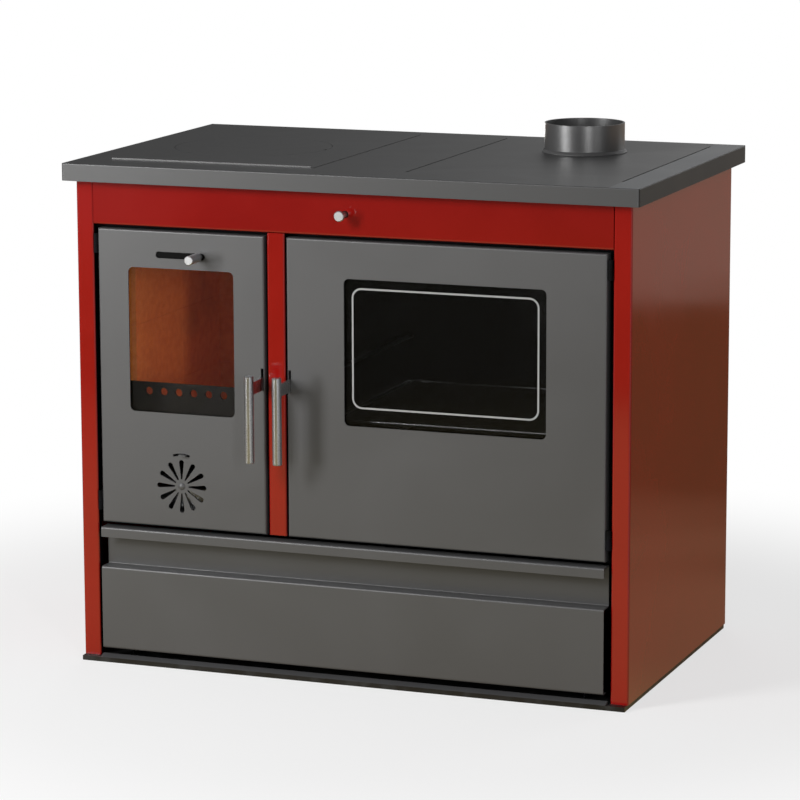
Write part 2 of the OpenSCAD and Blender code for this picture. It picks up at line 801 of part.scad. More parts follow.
module firebricks_back() color([0.55, 0.32, 0.2])
    brick_wall([shell_x0 + brick_t + seat_gap, firebox_y1 - brick_t, hearth_z],
        [shell_x1 - brick_t - seat_gap, firebox_y1 - seat_gap, hearth_z + brick_h], 0, 1, 3);

module grate() color([0.2, 0.2, 0.2]) {
    pitch = (grate_w - grate_bar) / grate_slots;
    middle_y = grate_y0 + grate_d / 2;
    difference() {
        block([grate_x - grate_w / 2, grate_y0, hearth_z],
            [grate_x + grate_w / 2, grate_y0 + grate_d, hearth_z + grate_h]);
        for (k = [0 : grate_slots - 1]) {
            x0 = grate_x - grate_w / 2 + grate_bar + pitch * k;
            block([x0, grate_y0 + grate_bar, hearth_z - over],
                [x0 + pitch - grate_bar, middle_y - grate_bar / 2, hearth_z + grate_h + over]);
            block([x0, middle_y + grate_bar / 2, hearth_z - over],
                [x0 + pitch - grate_bar, grate_y0 + grate_d - grate_bar,
                    hearth_z + grate_h + over]);
        }
    }
}

module log_retainer() color([0.2, 0.18, 0.17])
    difference() {
        block([shell_x0 + seat_gap, retainer_y, hearth_z],
            [shell_x1 - seat_gap, retainer_y + retainer_t, hearth_z + retainer_h]);
        for (k = [0 : retainer_holes - 1])
            bar_y(rosette_x + (k - (retainer_holes - 1) / 2) * retainer_pitch,
                hearth_z + retainer_h - retainer_hole_drop, retainer_hole_r,
                retainer_y - over, retainer_y + retainer_t + over);
    }

module ash_pan() color([0.3, 0.3, 0.3]) {
    front = frame_back + ash_pan_start;
    low_z = floor_top + seat_gap;
    bail_z = low_z + ash_pan_h / 2;
    half_w = ash_bail_w / 2;
    open_box([grate_x - ash_pan_w / 2, front, low_z],
        [grate_x + ash_pan_w / 2, front + ash_pan_d, low_z + ash_pan_h], box_t);
    difference() {
        block([grate_x - half_w, front - ash_bail_reach, bail_z],
            [grate_x + half_w, front, bail_z + ash_bail_bar]);
        block([grate_x - half_w + ash_bail_bar, front - ash_bail_reach + ash_bail_bar, low_z],
            [grate_x + half_w - ash_bail_bar, front - seat_gap, low_z + ash_pan_h]);
    }
}

// Oven
module oven_liner() color([0.1, 0.1, 0.11])
    difference() {
        block([oven_cav_x0 - oven_t, frame_back + seat_gap, oven_cav_z0 - oven_t],
            [oven_cav_x1 + oven_t, oven_cav_y1 + oven_t, oven_cav_z1 + oven_t]);
        block([oven_cav_x0, frame_back, oven_cav_z0], [oven_cav_x1, oven_cav_y1, oven_cav_z1]);
    }

rail_y0 = frame_back + rail_start;

module oven_shelf_rails() color([0.35, 0.35, 0.36])
    for (k = [0 : 2]) {
        z = oven_cav_z0 + rail_rise + rail_pitch * k;
        block([oven_cav_x0, rail_y0, z], [oven_cav_x0 + rail_w, rail_y0 + rail_len, z + rail_t]);
        block([oven_cav_x1 - rail_w, rail_y0, z], [oven_cav_x1, rail_y0 + rail_len, z + rail_t]);
    }

module oven_rack() color([0.65, 0.65, 0.66]) {
    z = oven_cav_z0 + rail_rise + rail_pitch + rail_t + rack_rim_r;
    x0 = oven_cav_x0 + rack_rim_r * 2;
    x1 = oven_cav_x1 - rack_rim_r * 2;
    y0 = rail_y0 + rack_rim_r * 2;
    pitch = (x1 - x0) / (rack_wires + 1);
    for (y = [y0, y0 + rack_d])
        translate([x0, y, z]) rotate([0, 90, 0]) cylinder(h = x1 - x0, r = rack_rim_r);
    for (k = [0 : rack_wires + 1])
        bar_y(x0 + pitch * k, z, k == 0 || k > rack_wires ? rack_rim_r : rack_wire_r,
            y0, y0 + rack_d);
    for (x = [x0, x1], y = [y0, y0 + rack_d]) translate([x, y, z]) sphere(rack_rim_r);
}

// Smoke ways
channel_x = panel_x - channel_side_gap;

module smoke_channel_plates() color([0.14, 0.14, 0.14]) {
    block([channel_x - channel_plate_t, frame_back + seat_gap, floor_top],
        [channel_x, channel_y, casing_top]);
    block([shell_x1 + shell_t + channel_plate_t, channel_y - channel_plate_t, floor_top],
        [channel_x - channel_plate_t - seat_gap, channel_y, casing_top]);
    block([shell_x1 + shell_t, firebox_y1 + shell_t, floor_top],
        [shell_x1 + shell_t + channel_plate_t - seat_gap, channel_y, casing_top]);
    block([shell_x1 + shell_t + seat_gap, frame_back + seat_gap, oven_cav_z1],
        [oven_cav_x0 - oven_t - seat_gap, firebox_y1, oven_cav_z1 + channel_plate_t]);
}

partition_y = frame_back + partition_back;

module flue_partition() color([0.14, 0.14, 0.14])
    difference() {
        block([shell_x1 + shell_t + seat_gap, partition_y, oven_cav_z1 + oven_t + seat_gap],
            [channel_x - channel_plate_t - seat_gap, partition_y + partition_t, casing_top]);
        block([damper_x - damper_gate_w / 2, partition_y - over, gate_z0],
            [damper_x + damper_gate_w / 2, partition_y + partition_t + over, gate_z1]);
        translate([lid_x, lid_y, hob_under - lid_ring_t - seat_gap])
            cylinder(h = lid_ring_t + over, r = lid_ring_r + seat_gap);
    }

// Damper
module damper_guide() color([0.5, 0.5, 0.5])
    difference() {
        bar_y(damper_x, damper_z, guide_r, frame_y - guide_len, frame_y);
        bar_y(damper_x, damper_z, damper_rod_r + running_gap,
            frame_y - guide_len - over, frame_y + over);
    }

module damper_rod() color([0.7, 0.7, 0.7])
    bar_y(damper_x, damper_z, damper_rod_r, -damper_knob_back, partition_y - seat_gap - damper_t);

module damper_knob() color([0.75, 0.75, 0.75])
    knob_y(damper_x, damper_z, damper_knob_r, -damper_knob_back - damper_knob_len,
        -damper_knob_back);

// The plate covers its opening and the end of the rod, wherever the rod comes in
module damper_plate() color([0.2, 0.2, 0.2])
    block([damper_x - damper_gate_w / 2 - damper_lap, partition_y - seat_gap - damper_t,
            min(gate_z0, damper_z - damper_rod_r) - damper_lap],
        [damper_x + damper_gate_w / 2 + damper_lap, partition_y - seat_gap,
            max(gate_z1, damper_z + damper_rod_r) + damper_lap]);

// Hob
module hob_plate() color([0.34, 0.34, 0.34]) {
    x1 = hob_w / 2;
    y0 = -hob_front;
    y1 = hob_d - hob_front;
    difference() {
        intersection() {
            slab_y(y0, y1) round_high_y(-x1, x1, hob_edge_z, hob_z, hob_edge_r);
            slab_x(-x1, x1) round_high_y(y0, y1, hob_edge_z, hob_z, hob_edge_r);
            slab_z(hob_edge_z, hob_z) round_rect(-x1, x1, y0, y1, hob_corner_r);
        }
        block([-x1 + hob_wall_t, y0 + hob_wall_t, hob_edge_z - over],
            [x1 - hob_wall_t, y1 - hob_wall_t, hob_under]);
        translate([lid_x, lid_y, hob_under - over])
            cylinder(h = hob_plate_t + 2 * over, r = lid_r + lid_gap);
        translate([flue_x, flue_y, hob_under - over])
            cylinder(h = hob_plate_t + 2 * over, r = flue_bore_r - flue_step);
        for (x = [left_groove_x, middle_groove_x, x1 - right_groove_inset])
            block([x, y0 + long_groove_start, hob_z - groove_cut],
                [x + groove_w, y1 - long_groove_end, hob_z + over]);
    }
    slab_x(-x1 + front_bar_start, -x1 + front_bar_start + front_bar_len)
        round_high_y(y0 + front_bar_y, y0 + front_bar_y + front_bar_w, hob_z - over,
            hob_z + front_bar_h, front_bar_r);
}

module lid_seat_ring() color([0.15, 0.15, 0.15])
    translate([lid_x, lid_y, hob_under - lid_ring_t])
        difference() {
            cylinder(h = lid_ring_t, r = lid_ring_r);
            translate([0, 0, -over]) cylinder(h = lid_ring_t + 2 * over, r = lid_r - lid_ledge);
        }

module hob_lid() color([0.34, 0.34, 0.34])
    difference() {
        translate([lid_x, lid_y, hob_under]) cylinder(h = hob_plate_t, r = lid_r);
        translate([lid_x + lid_r, lid_y, hob_under + hob_plate_t / 2])
            cylinder(h = hob_plate_t, r = lifter_r);
    }

// Flue
module flue_collar() color([0.32, 0.32, 0.32])
    translate([flue_x, flue_y, hob_z])
        difference() {
            cylinder(h = flue_h, r = flue_bore_r + flue_t);
            translate([0, 0, -over]) cylinder(h = flue_h + 2 * over, r = flue_bore_r);
        }

module flue_bead() color([0.32, 0.32, 0.32])
    translate([flue_x, flue_y, hob_z])
        difference() {
            cylinder(h = flue_bead_h, r = flue_bore_r + flue_t + flue_bead_w);
            translate([0, 0, -over])
                cylinder(h = flue_bead_h + 2 * over, r = flue_bore_r + flue_t + running_gap);
        }

// Door pieces that both doors share
module door_pan(x0, x1) {
    difference() {
        intersection() {
            slab_z(door_z0, door_z1) round_low_y(x0, x1, door_face, door_back, door_r);
            slab_x(x0, x1) round_low_x(door_face, door_back, door_z0, door_z1, door_r);
        }
        block([x0 + door_t, door_inner, door_z0 + door_t],
            [x1 - door_t, door_back + over, door_z1 - door_t]);
    }
}

module window_cut(mid, w)
    slab_y(door_face - over, door_inner + over)
        round_rect(mid - w / 2, mid + w / 2, window_z0, window_z1, window_r);

module lever_slot_cut(x)
    block([x - lever_t / 2 - slot_gap, door_face - over, lever_z - arm_h / 2 - slot_gap],
        [x + lever_t / 2 + slot_gap, door_inner + over, lever_z + arm_h / 2 + slot_rise]);

module door_glass(mid, w) color([0.05, 0.05, 0.05, 0.4])
    slab_y(door_inner + tape_t, door_inner + tape_t + glass_t)
        round_rect(mid - w / 2 - glass_lap, mid + w / 2 + glass_lap,
            window_z0 - glass_lap, window_z1 + glass_lap, window_r);

// A clip screwed to the right of the glass edge at x, with a finger over the glass
module glass_clip(x, z) {
    glass_back = door_inner + tape_t + glass_t;
    foot_x1 = x + seat_gap + clip_foot;
    block([x + seat_gap, door_inner, z - clip_w / 2], [foot_x1, glass_back, z + clip_w / 2]);
    block([x - clip_finger, glass_back, z - clip_w / 2],
        [foot_x1, glass_back + clip_t, z + clip_w / 2]);
    bar_y((x + foot_x1) / 2, z, clip_screw_r, glass_back + clip_t,
        glass_back + clip_t + clip_screw_h);
}

module glass_clips(mid, w) color([0.55, 0.55, 0.55])
    for (k = [1 : clips_per_side]) {
        z = window_z0 + window_h * (k - 0.5) / clips_per_side;
        translate([mid, 0, 0]) for (side = [0, 1])
            mirror([side, 0, 0]) glass_clip(w / 2 + glass_lap, z);
    }

// A ring of the seal's outline, widened or narrowed by half its width
module seal_ring(x0, x1, half_w) {
    z0 = door_z0 + seal_inset;
    z1 = door_z1 - seal_inset;
    difference() {
        round_rect(x0 - half_w, x1 + half_w, z0 - half_w, z1 + half_w, seal_r + half_w);
        round_rect(x0 + half_w, x1 - half_w, z0 + half_w, z1 - half_w, seal_r - half_w);
    }
}

module seal_channel(x0, x1) color([0.3, 0.3, 0.3]) {
    groove_half = seal_w / 2 + running_gap;
    groove_y = door_back - groove_d;
    difference() {
        slab_y(door_inner, door_back) seal_ring(x0, x1, groove_half + channel_t);
        slab_y(groove_y, door_back + over) seal_ring(x0, x1, groove_half);
        slab_y(door_inner - over, groove_y - channel_t) seal_ring(x0, x1, groove_half);
    }
}

module door_seal(x0, x1) color([0.8, 0.78, 0.72])
    slab_y(door_back - groove_d, frame_y - seat_gap) seal_ring(x0, x1, seal_w / 2);

fire_seal_x0 = fire_x0 + seal_inset;
fire_seal_x1 = fire_x1 - seal_latch_inset;
oven_seal_x0 = oven_x0 + seal_latch_inset;
oven_seal_x1 = oven_x1 - seal_inset;

// Hinges: the fixed knuckle carries the pin, and the door's knuckle stands on it
hinge_heights = [door_z1 - hinge_top_drop, door_z0 + hinge_low_rise];

module fixed_hinges() color([0.45, 0.45, 0.45])
    for (z = hinge_heights) {
        translate([-hinge_x, 0, z - knuckle_h]) cylinder(h = knuckle_h, r = knuckle_r);
        translate([-hinge_x, 0, z]) cylinder(h = knuckle_h, r = hinge_pin_r);
        block([-stile_x, 0, z - knuckle_h], [-hinge_x, stile_return, z]);
    }

module door_knuckles() color([0.45, 0.45, 0.45])
    for (z = hinge_heights) {
        low_z = z + seat_gap;
        difference() {
            union() {
                translate([-hinge_x, 0, low_z]) cylinder(h = knuckle_h, r = knuckle_r);
                block([-hinge_x, -lug_t / 2, low_z], [fire_x0, lug_t / 2, low_z + knuckle_h]);
            }
            translate([-hinge_x, 0, low_z - over])
                cylinder(h = knuckle_h + 2 * over, r = hinge_pin_r + running_gap);
        }
    }

module fire_door_hinges() fixed_hinges();

module oven_door_hinges() mirror([1, 0, 0]) fixed_hinges();

module fire_door_knuckles() door_knuckles();

module oven_door_knuckles() mirror([1, 0, 0]) door_knuckles();

// Latch: an ear and pin inside the door, the lever that turns on it, and its grip
module latch_bracket(x, way) color([0.45, 0.45, 0.45]) {
    ear_x0 = x - way * (lever_t / 2 + slot_gap);
    ear_x1 = ear_x0 - way * lug_t;
    block([min(ear_x0, ear_x1), door_inner, lever_z - arm_h / 2],
        [max(ear_x0, ear_x1), door_back - seat_gap, lever_z + arm_h / 2]);
    translate([min(ear_x0, x + way * lever_t / 2), pivot_y, lever_z]) rotate([0, 90, 0])
        cylinder(h = lever_t + slot_gap, r = pivot_r);
}

module latch_lever(x) color([0.6, 0.6, 0.6]) {
    half_arm = arm_h / 2;
    tail_low = lever_z - tail_h / 2;
    tail_top = catch_z - tooth_h - seat_gap;
    hook_y = frame_back + catch_t + seat_gap;
    difference() {
        slab_x(x - lever_t / 2, x + lever_t / 2) polygon([
            [-grip_out, lever_z - half_arm], [pivot_y, lever_z - half_arm],
            [frame_y - over, tail_low], [tail_y, tail_low],
            [tail_y, catch_z - seat_gap], [hook_y, catch_z - seat_gap], [hook_y, tail_top],
            [frame_y - over, tail_top], [pivot_y, lever_z + half_arm],
            [-grip_out, lever_z + half_arm]]);
        translate([x - lever_t, pivot_y, lever_z]) rotate([0, 90, 0])
            cylinder(h = 2 * lever_t, r = pivot_r + running_gap);
    }
}

module handle_grip(x) color([0.7, 0.7, 0.7]) {
    top_z = lever_z + arm_h / 2 + grip_top_rise;
    difference() {
        translate([x, -grip_out, top_z - grip_len]) rotate_extrude()
            polygon([[0, 0], [grip_r - knob_chamfer, 0], [grip_r, knob_chamfer],
                [grip_r, grip_len - knob_chamfer], [grip_r - knob_chamfer, grip_len],
                [0, grip_len]]);
        block([x - lever_t / 2, -grip_out, lever_z - arm_h / 2],
            [x + lever_t / 2, -grip_out + grip_r + over, lever_z + arm_h / 2]);
    }
}

// Fire door
module rosette_slot() {
    wide = rosette_slot_w / 2;
    tip = rosette_slot_tip / 2;
    polygon([[-tip, rosette_in + tip], [-wide, rosette_out - wide], [wide, rosette_out - wide],
        [tip, rosette_in + tip]]);
    translate([0, rosette_in + tip]) circle(tip);
    translate([0, rosette_out - wide]) circle(wide);
}

module rosette_cut(y0, y1)
    slab_y(y0, y1) translate([rosette_x, rosette_z])
        for (k = [0 : rosette_slots - 1]) rotate(k * 360 / rosette_slots) rosette_slot();

// A curved slot: a ring cut down to a wedge
module tab_slot_cut()
    slab_y(door_face - over, door_inner + over) translate([rosette_x, rosette_z])
        intersection() {
            difference() {
                circle(tab_slot_r + tab_slot_w / 2);
                circle(tab_slot_r - tab_slot_w / 2);
            }
            polygon([[0, 0],
                [-tan(tab_slot_angle) * 2 * tab_slot_r, 2 * tab_slot_r],
                [tan(tab_slot_angle) * 2 * tab_slot_r, 2 * tab_slot_r]]);
        }

module fire_door_panel() color([0.38, 0.38, 0.38])
    difference() {
        door_pan(fire_x0, fire_x1);
        window_cut(fire_mid, fire_window_w);
        lever_slot_cut(fire_lever_x);
        rosette_cut(door_face - over, door_inner + over);
        tab_slot_cut();
        bar_y(rosette_x, rosette_z, rivet_r + running_gap, door_face - over, door_inner + over);
        slab_y(door_face - over, door_inner + over)
            long_hole(fire_mid - air_slot_w / 2, fire_mid + air_slot_w / 2, air_slot_z, air_slot_h);
    }

module fire_door_glass() door_glass(fire_mid, fire_window_w);

module fire_glass_clips() glass_clips(fire_mid, fire_window_w);

module fire_seal_channel() seal_channel(fire_seal_x0, fire_seal_x1);

module fire_door_seal() door_seal(fire_seal_x0, fire_seal_x1);

module fire_latch_bracket() latch_bracket(fire_lever_x, 1);

module fire_latch_lever() latch_lever(fire_lever_x);

module fire_handle_grip() handle_grip(fire_lever_x);

// Primary air
disc_y = door_inner + seat_gap;

module primary_air_disc() color([0.3, 0.3, 0.3])
    difference() {
        union() {
            bar_y(rosette_x, rosette_z, disc_r, disc_y, disc_y + air_plate_t);
            translate([rosette_x, 0, rosette_z]) rotate([0, tab_angle, 0]) {
                block([-tab_w / 2, disc_y, disc_r - rivet_r],
                    [tab_w / 2, disc_y + air_plate_t, tab_slot_r + tab_t / 2]);
                block([-tab_w / 2, door_face - tab_out, tab_slot_r - tab_t / 2],
                    [tab_w / 2, disc_y + air_plate_t, tab_slot_r + tab_t / 2]);
            }
        }
        rosette_cut(disc_y - over, disc_y + air_plate_t + over);
        bar_y(rosette_x, rosette_z, rivet_r + running_gap, disc_y - over,
            disc_y + air_plate_t + over);
    }

// A spherical cap for the rivet's head
module dome(r, h) {
    ball_r = (r * r + h * h) / (2 * h);
    intersection() {
        translate([0, 0, h - ball_r]) sphere(ball_r);
        cylinder(h = h, r = r);
    }
}

module primary_air_rivet() color([0.5, 0.5, 0.5]) {
    tail = disc_y + air_plate_t + seat_gap;
    translate([rosette_x, door_face, rosette_z]) rotate([90, 0, 0])
        dome(rivet_head_r, rivet_head_h);
    bar_y(rosette_x, rosette_z, rivet_r, door_face, tail);
    bar_y(rosette_x, rosette_z, rivet_washer_r, tail, tail + air_plate_t);
}

// Secondary air
stem_x = fire_mid + air_slot_w / 2 - stem_inset;

// The slide covers the slot at rest and uncovers it from the right as the knob moves left
module secondary_air_slide() color([0.3, 0.3, 0.3])
    block([fire_mid - air_slot_w / 2 - slide_lap, disc_y, air_slot_z - slide_h / 2],
        [fire_mid + air_slot_w / 2 + slide_lap, disc_y + air_plate_t, air_slot_z + slide_h / 2]);

module secondary_air_knob() color([0.75, 0.75, 0.75]) {
    knob_y(stem_x, air_slot_z, air_knob_r, -air_knob_back - air_knob_len, -air_knob_back);
    bar_y(stem_x, air_slot_z, stem_r, -air_knob_back, disc_y);
}

// Oven door
module oven_door_panel() color([0.38, 0.38, 0.38])
    difference() {
        door_pan(oven_x0, oven_x1);
        window_cut(oven_mid, oven_window_w);
        lever_slot_cut(oven_lever_x);
    }

module oven_door_glass() door_glass(oven_mid, oven_window_w);

module oven_glass_clips() glass_clips(oven_mid, oven_window_w);

module oven_seal_channel() seal_channel(oven_seal_x0, oven_seal_x1);

module oven_door_seal() door_seal(oven_seal_x0, oven_seal_x1);

module oven_latch_bracket() latch_bracket(oven_lever_x, -1);

module oven_latch_lever() latch_lever(oven_lever_x);

module oven_handle_grip() handle_grip(oven_lever_x);

// Drawer
drawer_x = stile_x - drawer_side_gap;

module drawer_front() color([0.33, 0.33, 0.32]) {
    mid = door_t / 2;
    face = -drawer_proud + mid;
    recess = -drawer_proud + recess_d + mid;
    slab_x(-drawer_x, drawer_x) folded([
        [-drawer_proud + drawer_fold, drawer_z + mid],
        [face, drawer_z + mid],
        [face, recess_z - mid],
        [recess, recess_z - mid],
        [recess, drawer_top - mid],
        [face, drawer_top - mid],
        [face, pull_z]], door_t, fold_r);
}

// A square corner at this distance from both faces clears the round inside of a fold
corner_gap = fold_r * (1 - sqrt(0.5)) + seat_gap;
box_y0 = -drawer_proud + door_t + corner_gap;
box_z0 = drawer_z + door_t + corner_gap;

module drawer_box() color([0.3, 0.3, 0.3])
    open_box([-drawer_box_w / 2, box_y0, box_z0],
        [drawer_box_w / 2, box_y0 + drawer_box_d, box_z0 + drawer_box_h], box_t);

module drawer_runners() color([0.4, 0.4, 0.4])
    for (side = [0, 1]) mirror([side, 0, 0]) {
        upright_x = drawer_box_w / 2 + runner_side_gap;
        ledge_z = box_z0 - seat_gap;
        slab_y(runner_y, box_y0 + drawer_box_d) {
            translate([upright_x, base_t]) square([runner_t, runner_h - base_t]);
            translate([upright_x - runner_ledge, ledge_z - runner_t])
                square([runner_ledge, runner_t]);
        }
    }

base_plate();
base_front_lip();
left_side_panel();
right_side_panel();
back_panel();
top_fascia();
centre_stile();
front_frame();
inner_floor();
hob_plate();
lid_seat_ring();
flue_collar();
flue_bead();
firebox_shell();
hearth_plate();
firebricks_left();
firebricks_right();
firebricks_back();
grate();
ash_pan();
log_retainer();
oven_liner();
oven_shelf_rails();
oven_rack();
smoke_channel_plates();
flue_partition();
fire_door_hinges();
oven_door_hinges();
door_catches();
drawer_runners();
damper_guide();
back_screws();
fire_door_panel();
fire_door_glass();
fire_glass_clips();
fire_seal_channel();
fire_door_seal();
fire_door_knuckles();
primary_air_rivet();
fire_latch_bracket();
fire_handle_grip();
fire_latch_lever();
primary_air_disc();
secondary_air_slide();
secondary_air_knob();
oven_door_panel();
oven_door_glass();
oven_glass_clips();
oven_seal_channel();
oven_door_seal();
oven_door_knuckles();
oven_latch_bracket();
oven_handle_grip();
oven_latch_lever();
damper_rod();
damper_knob();
damper_plate();
drawer_front();
drawer_box();
hob_lid();
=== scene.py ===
import json
import math

import bmesh
import bpy
from mathutils import Euler, Matrix, Vector


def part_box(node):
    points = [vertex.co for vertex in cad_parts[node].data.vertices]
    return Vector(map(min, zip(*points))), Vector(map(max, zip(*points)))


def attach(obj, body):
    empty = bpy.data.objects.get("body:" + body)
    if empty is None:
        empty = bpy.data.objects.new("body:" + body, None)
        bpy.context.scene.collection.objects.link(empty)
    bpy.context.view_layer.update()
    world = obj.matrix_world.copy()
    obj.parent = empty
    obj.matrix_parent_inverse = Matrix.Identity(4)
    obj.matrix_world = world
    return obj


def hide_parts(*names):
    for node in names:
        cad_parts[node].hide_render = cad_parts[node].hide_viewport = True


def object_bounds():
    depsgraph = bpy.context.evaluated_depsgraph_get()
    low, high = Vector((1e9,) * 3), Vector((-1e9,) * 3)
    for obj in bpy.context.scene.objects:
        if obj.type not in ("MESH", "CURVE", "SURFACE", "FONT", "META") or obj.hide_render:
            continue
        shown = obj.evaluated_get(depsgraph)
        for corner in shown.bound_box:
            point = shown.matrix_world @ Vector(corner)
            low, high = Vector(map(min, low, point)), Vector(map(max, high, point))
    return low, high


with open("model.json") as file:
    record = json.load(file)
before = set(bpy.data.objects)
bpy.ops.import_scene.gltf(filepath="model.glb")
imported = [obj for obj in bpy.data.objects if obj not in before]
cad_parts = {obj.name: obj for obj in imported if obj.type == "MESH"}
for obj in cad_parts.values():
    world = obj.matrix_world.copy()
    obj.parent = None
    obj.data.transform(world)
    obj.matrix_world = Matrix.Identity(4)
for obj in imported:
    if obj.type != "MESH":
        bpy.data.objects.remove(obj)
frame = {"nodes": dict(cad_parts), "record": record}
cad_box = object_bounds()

MM = 0.001


def grey(light):
    return (light, light, light)


def opaque(colour):
    """A colour with the fourth part that sockets ask for"""
    return (*colour, 1)


def scaled(colour, factor):
    """A colour made paler or deeper"""
    return tuple(part * factor for part in colour)


WHITE = opaque(grey(1))


# Camera: at the photograph's place, a long lens that looks down a little, from the right
CAMERA_PLACE = (2.1508, -5.4126, 1.5821)
CAMERA_YAW = 20.8252
CAMERA_DOWN = 10.7318
CAMERA_ROLL = -0.1660
SENSOR_WIDTH = 36
LENS = 163.145
CLIP_END = 60


def make_camera():
    data = bpy.data.cameras.new("camera")
    data.sensor_width = SENSOR_WIDTH
    data.lens = LENS
    data.clip_end = CLIP_END
    camera = bpy.data.objects.new("camera", data)
    turn = Euler((math.radians(90 - CAMERA_DOWN), 0, math.radians(CAMERA_YAW)), "XYZ").to_matrix()
    roll = Euler((0, 0, math.radians(CAMERA_ROLL)), "XYZ").to_matrix()
    camera.rotation_euler = (turn @ roll).to_euler()
    camera.location = CAMERA_PLACE
    bpy.context.scene.collection.objects.link(camera)
    bpy.context.scene.camera = camera
    bpy.context.scene.view_settings.view_transform = "Standard"


# The usual range of a noise, which a span takes where no other is given
NOISE_LOW = 0.3
NOISE_HIGH = 0.7

# Where the Mix node keeps its two colours and their blend
MIX_FIRST = 6
MIX_SECOND = 7
MIX_RESULT = 2


class Tree:
    """One node tree, with a short call for each kind of node"""

    def __init__(self, owner, place="Object"):
        """In a material the place is the part's own, in metres, and in a world it is a direction"""
        owner.use_nodes = True
        self.nodes = owner.node_tree.nodes
        self.links = owner.node_tree.links
        self.nodes.clear()
        self.place = self.add("TexCoord").outputs[place]

    def add(self, kind, inputs=None, **settings):
        node = self.nodes.new("ShaderNode" + kind)
        for name, value in settings.items():
            setattr(node, name, value)
        for name, value in (inputs or {}).items():
            if isinstance(value, bpy.types.NodeSocket):
                self.links.new(value, node.inputs[name])
            else:
                node.inputs[name].default_value = value
        return node

    def stretched(self, x, y, z):
        """The place with each axis multiplied, for a grain that runs one way"""
        return self.add("VectorMath", {0: self.place, 1: (x, y, z)}, operation="MULTIPLY").outputs[0]

    def distance(self, point):
        """How far the place is from a point"""
        return self.add("VectorMath", {0: self.place, 1: point}, operation="DISTANCE").outputs["Value"]

    def noise(self, scale, detail=2, place=None, distortion=0, roughness=0.5):
        inputs = {"Vector": place or self.place, "Scale": scale, "Detail": detail,
                  "Distortion": distortion, "Roughness": roughness}
        return self.add("TexNoise", inputs).outputs["Fac"]

    def cells(self, scale, output="Distance"):
        return self.add("TexVoronoi", {"Vector": self.place, "Scale": scale}).outputs[output]

    def span(self, value, low=NOISE_LOW, high=NOISE_HIGH, to_low=0.0, to_high=1.0):
        """The value's stretch from low to high, as one from to_low to to_high, with both ends held"""
        inputs = {"Value": value, "From Min": low, "From Max": high, "To Min": to_low, "To Max": to_high}
        return self.add("MapRange", inputs, interpolation_type="SMOOTHSTEP").outputs["Result"]

    def maths(self, operation, first, second=0):
        return self.add("Math", {0: first, 1: second}, operation=operation).outputs[0]

    def plus(self, first, second):
        return self.maths("ADD", first, second)

    def times(self, first, second):
        return self.maths("MULTIPLY", first, second)

    def axis(self, name, place=None):
        return self.add("SeparateXYZ", {0: place or self.place}).outputs[name]

    def blend(self, share, first, second):
        """A colour from first to second"""
        node = self.add("Mix", {0: share}, data_type="RGBA")
        for place, colour in ((MIX_FIRST, first), (MIX_SECOND, second)):
            if isinstance(colour, bpy.types.NodeSocket):
                self.links.new(colour, node.inputs[place])
            else:
                node.inputs[place].default_value = opaque(colour)
        return node.outputs[MIX_RESULT]

    def bump(self, height, depth):
        """A normal from a height, whose full range stands for a depth in metres"""
        return self.add("Bump", {"Height": height, "Distance": depth, "Strength": 1.0}).outputs["Normal"]

    def mix_shaders(self, share, first, second):
        return self.add("MixShader", {0: share, 1: first, 2: second}).outputs[0]

    def surface(self, shader):
        self.add("OutputMaterial", {"Surface": shader})

    def principled(self, sockets):
        return self.add("BsdfPrincipled", sockets).outputs[0]


# Places where a finish changes, each from where to where, by the faces of the hob and the right side
HOB_BAR_HEIGHT = 3 * MM
hob_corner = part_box("hob_plate")[1]
hob_top = hob_corner.z - HOB_BAR_HEIGHT
# The hob's top face, painted darker than its front as painted shade, starts here
ON_HOB_TOP = (hob_top - 0.6 * MM, hob_top - 0.2 * MM)
ON_HOB_BAR = (hob_top + 0.2 * MM, hob_top + 0.8 * MM)
# The hob's ends, painted darker as painted shade, start here
AT_HOB_END = (hob_corner.x - 2 * MM, hob_corner.x - 1 * MM)
AT_HOB_STRIP = (hob_corner.x - 52 * MM, hob_corner.x - 50 * MM)
side_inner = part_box("right_side_panel")[0].x
# Painted shade: inside the side panels' inner faces, behind the front fold, the red enamel is painted
# black
INTO_STILE = (side_inner + 0.2 * MM, side_inner + 0.4 * MM)

# The same, along y from the front plane
# Behind this fold the red enamel is painted black as shade
BEHIND_FOLD = (2.0 * MM, 2.8 * MM)
# Over this depth the charcoal paint darkens into recesses, as painted shade
INTO_RECESS = (2 * MM, 12 * MM)
BEHIND_TAB = (-3.2 * MM, -2.8 * MM)


# Finishes: most are for the record's slot of the same name, and the others for single nodes
def red_enamel(tree, brightness=1.0):
    """Gloss stove enamel with a faint orange peel and wiped patches, painted black as shade behind the
    front folds
    """
    deep = scaled((0.292, 0.0060, 0.0040), brightness)
    bright = scaled((0.325, 0.0070, 0.0048), brightness)
    black = (0.004, 0.0035, 0.0035)
    wiped = tree.noise(scale=4, detail=4, distortion=1.0)
    peel = tree.noise(scale=330, detail=1)
    # Painted shade: black behind the front fold and inside the side panels' inner faces
    behind = tree.span(tree.axis("Y"), *BEHIND_FOLD)
    aside = tree.maths("ABSOLUTE", tree.axis("X"))
    within = tree.span(aside, *INTO_STILE, to_low=1, to_high=0)
    red = tree.blend(tree.span(wiped), deep, bright)
    return tree.principled({
        "Base Color": tree.blend(tree.times(behind, within), red, black),
        "Roughness": tree.span(wiped, low=0.35, to_low=0.08, to_high=0.12),
        "Specular IOR Level": 0.8,
        "Normal": tree.bump(peel, depth=0.012 * MM),
    })


def fascia_enamel(tree):
    """The same enamel, a shade deeper, on the fascia"""
    return red_enamel(tree, brightness=0.86)


def side_enamel(tree):
    """The same enamel, a shade paler, on the right side, as painted light"""
    return red_enamel(tree, brightness=1.05)


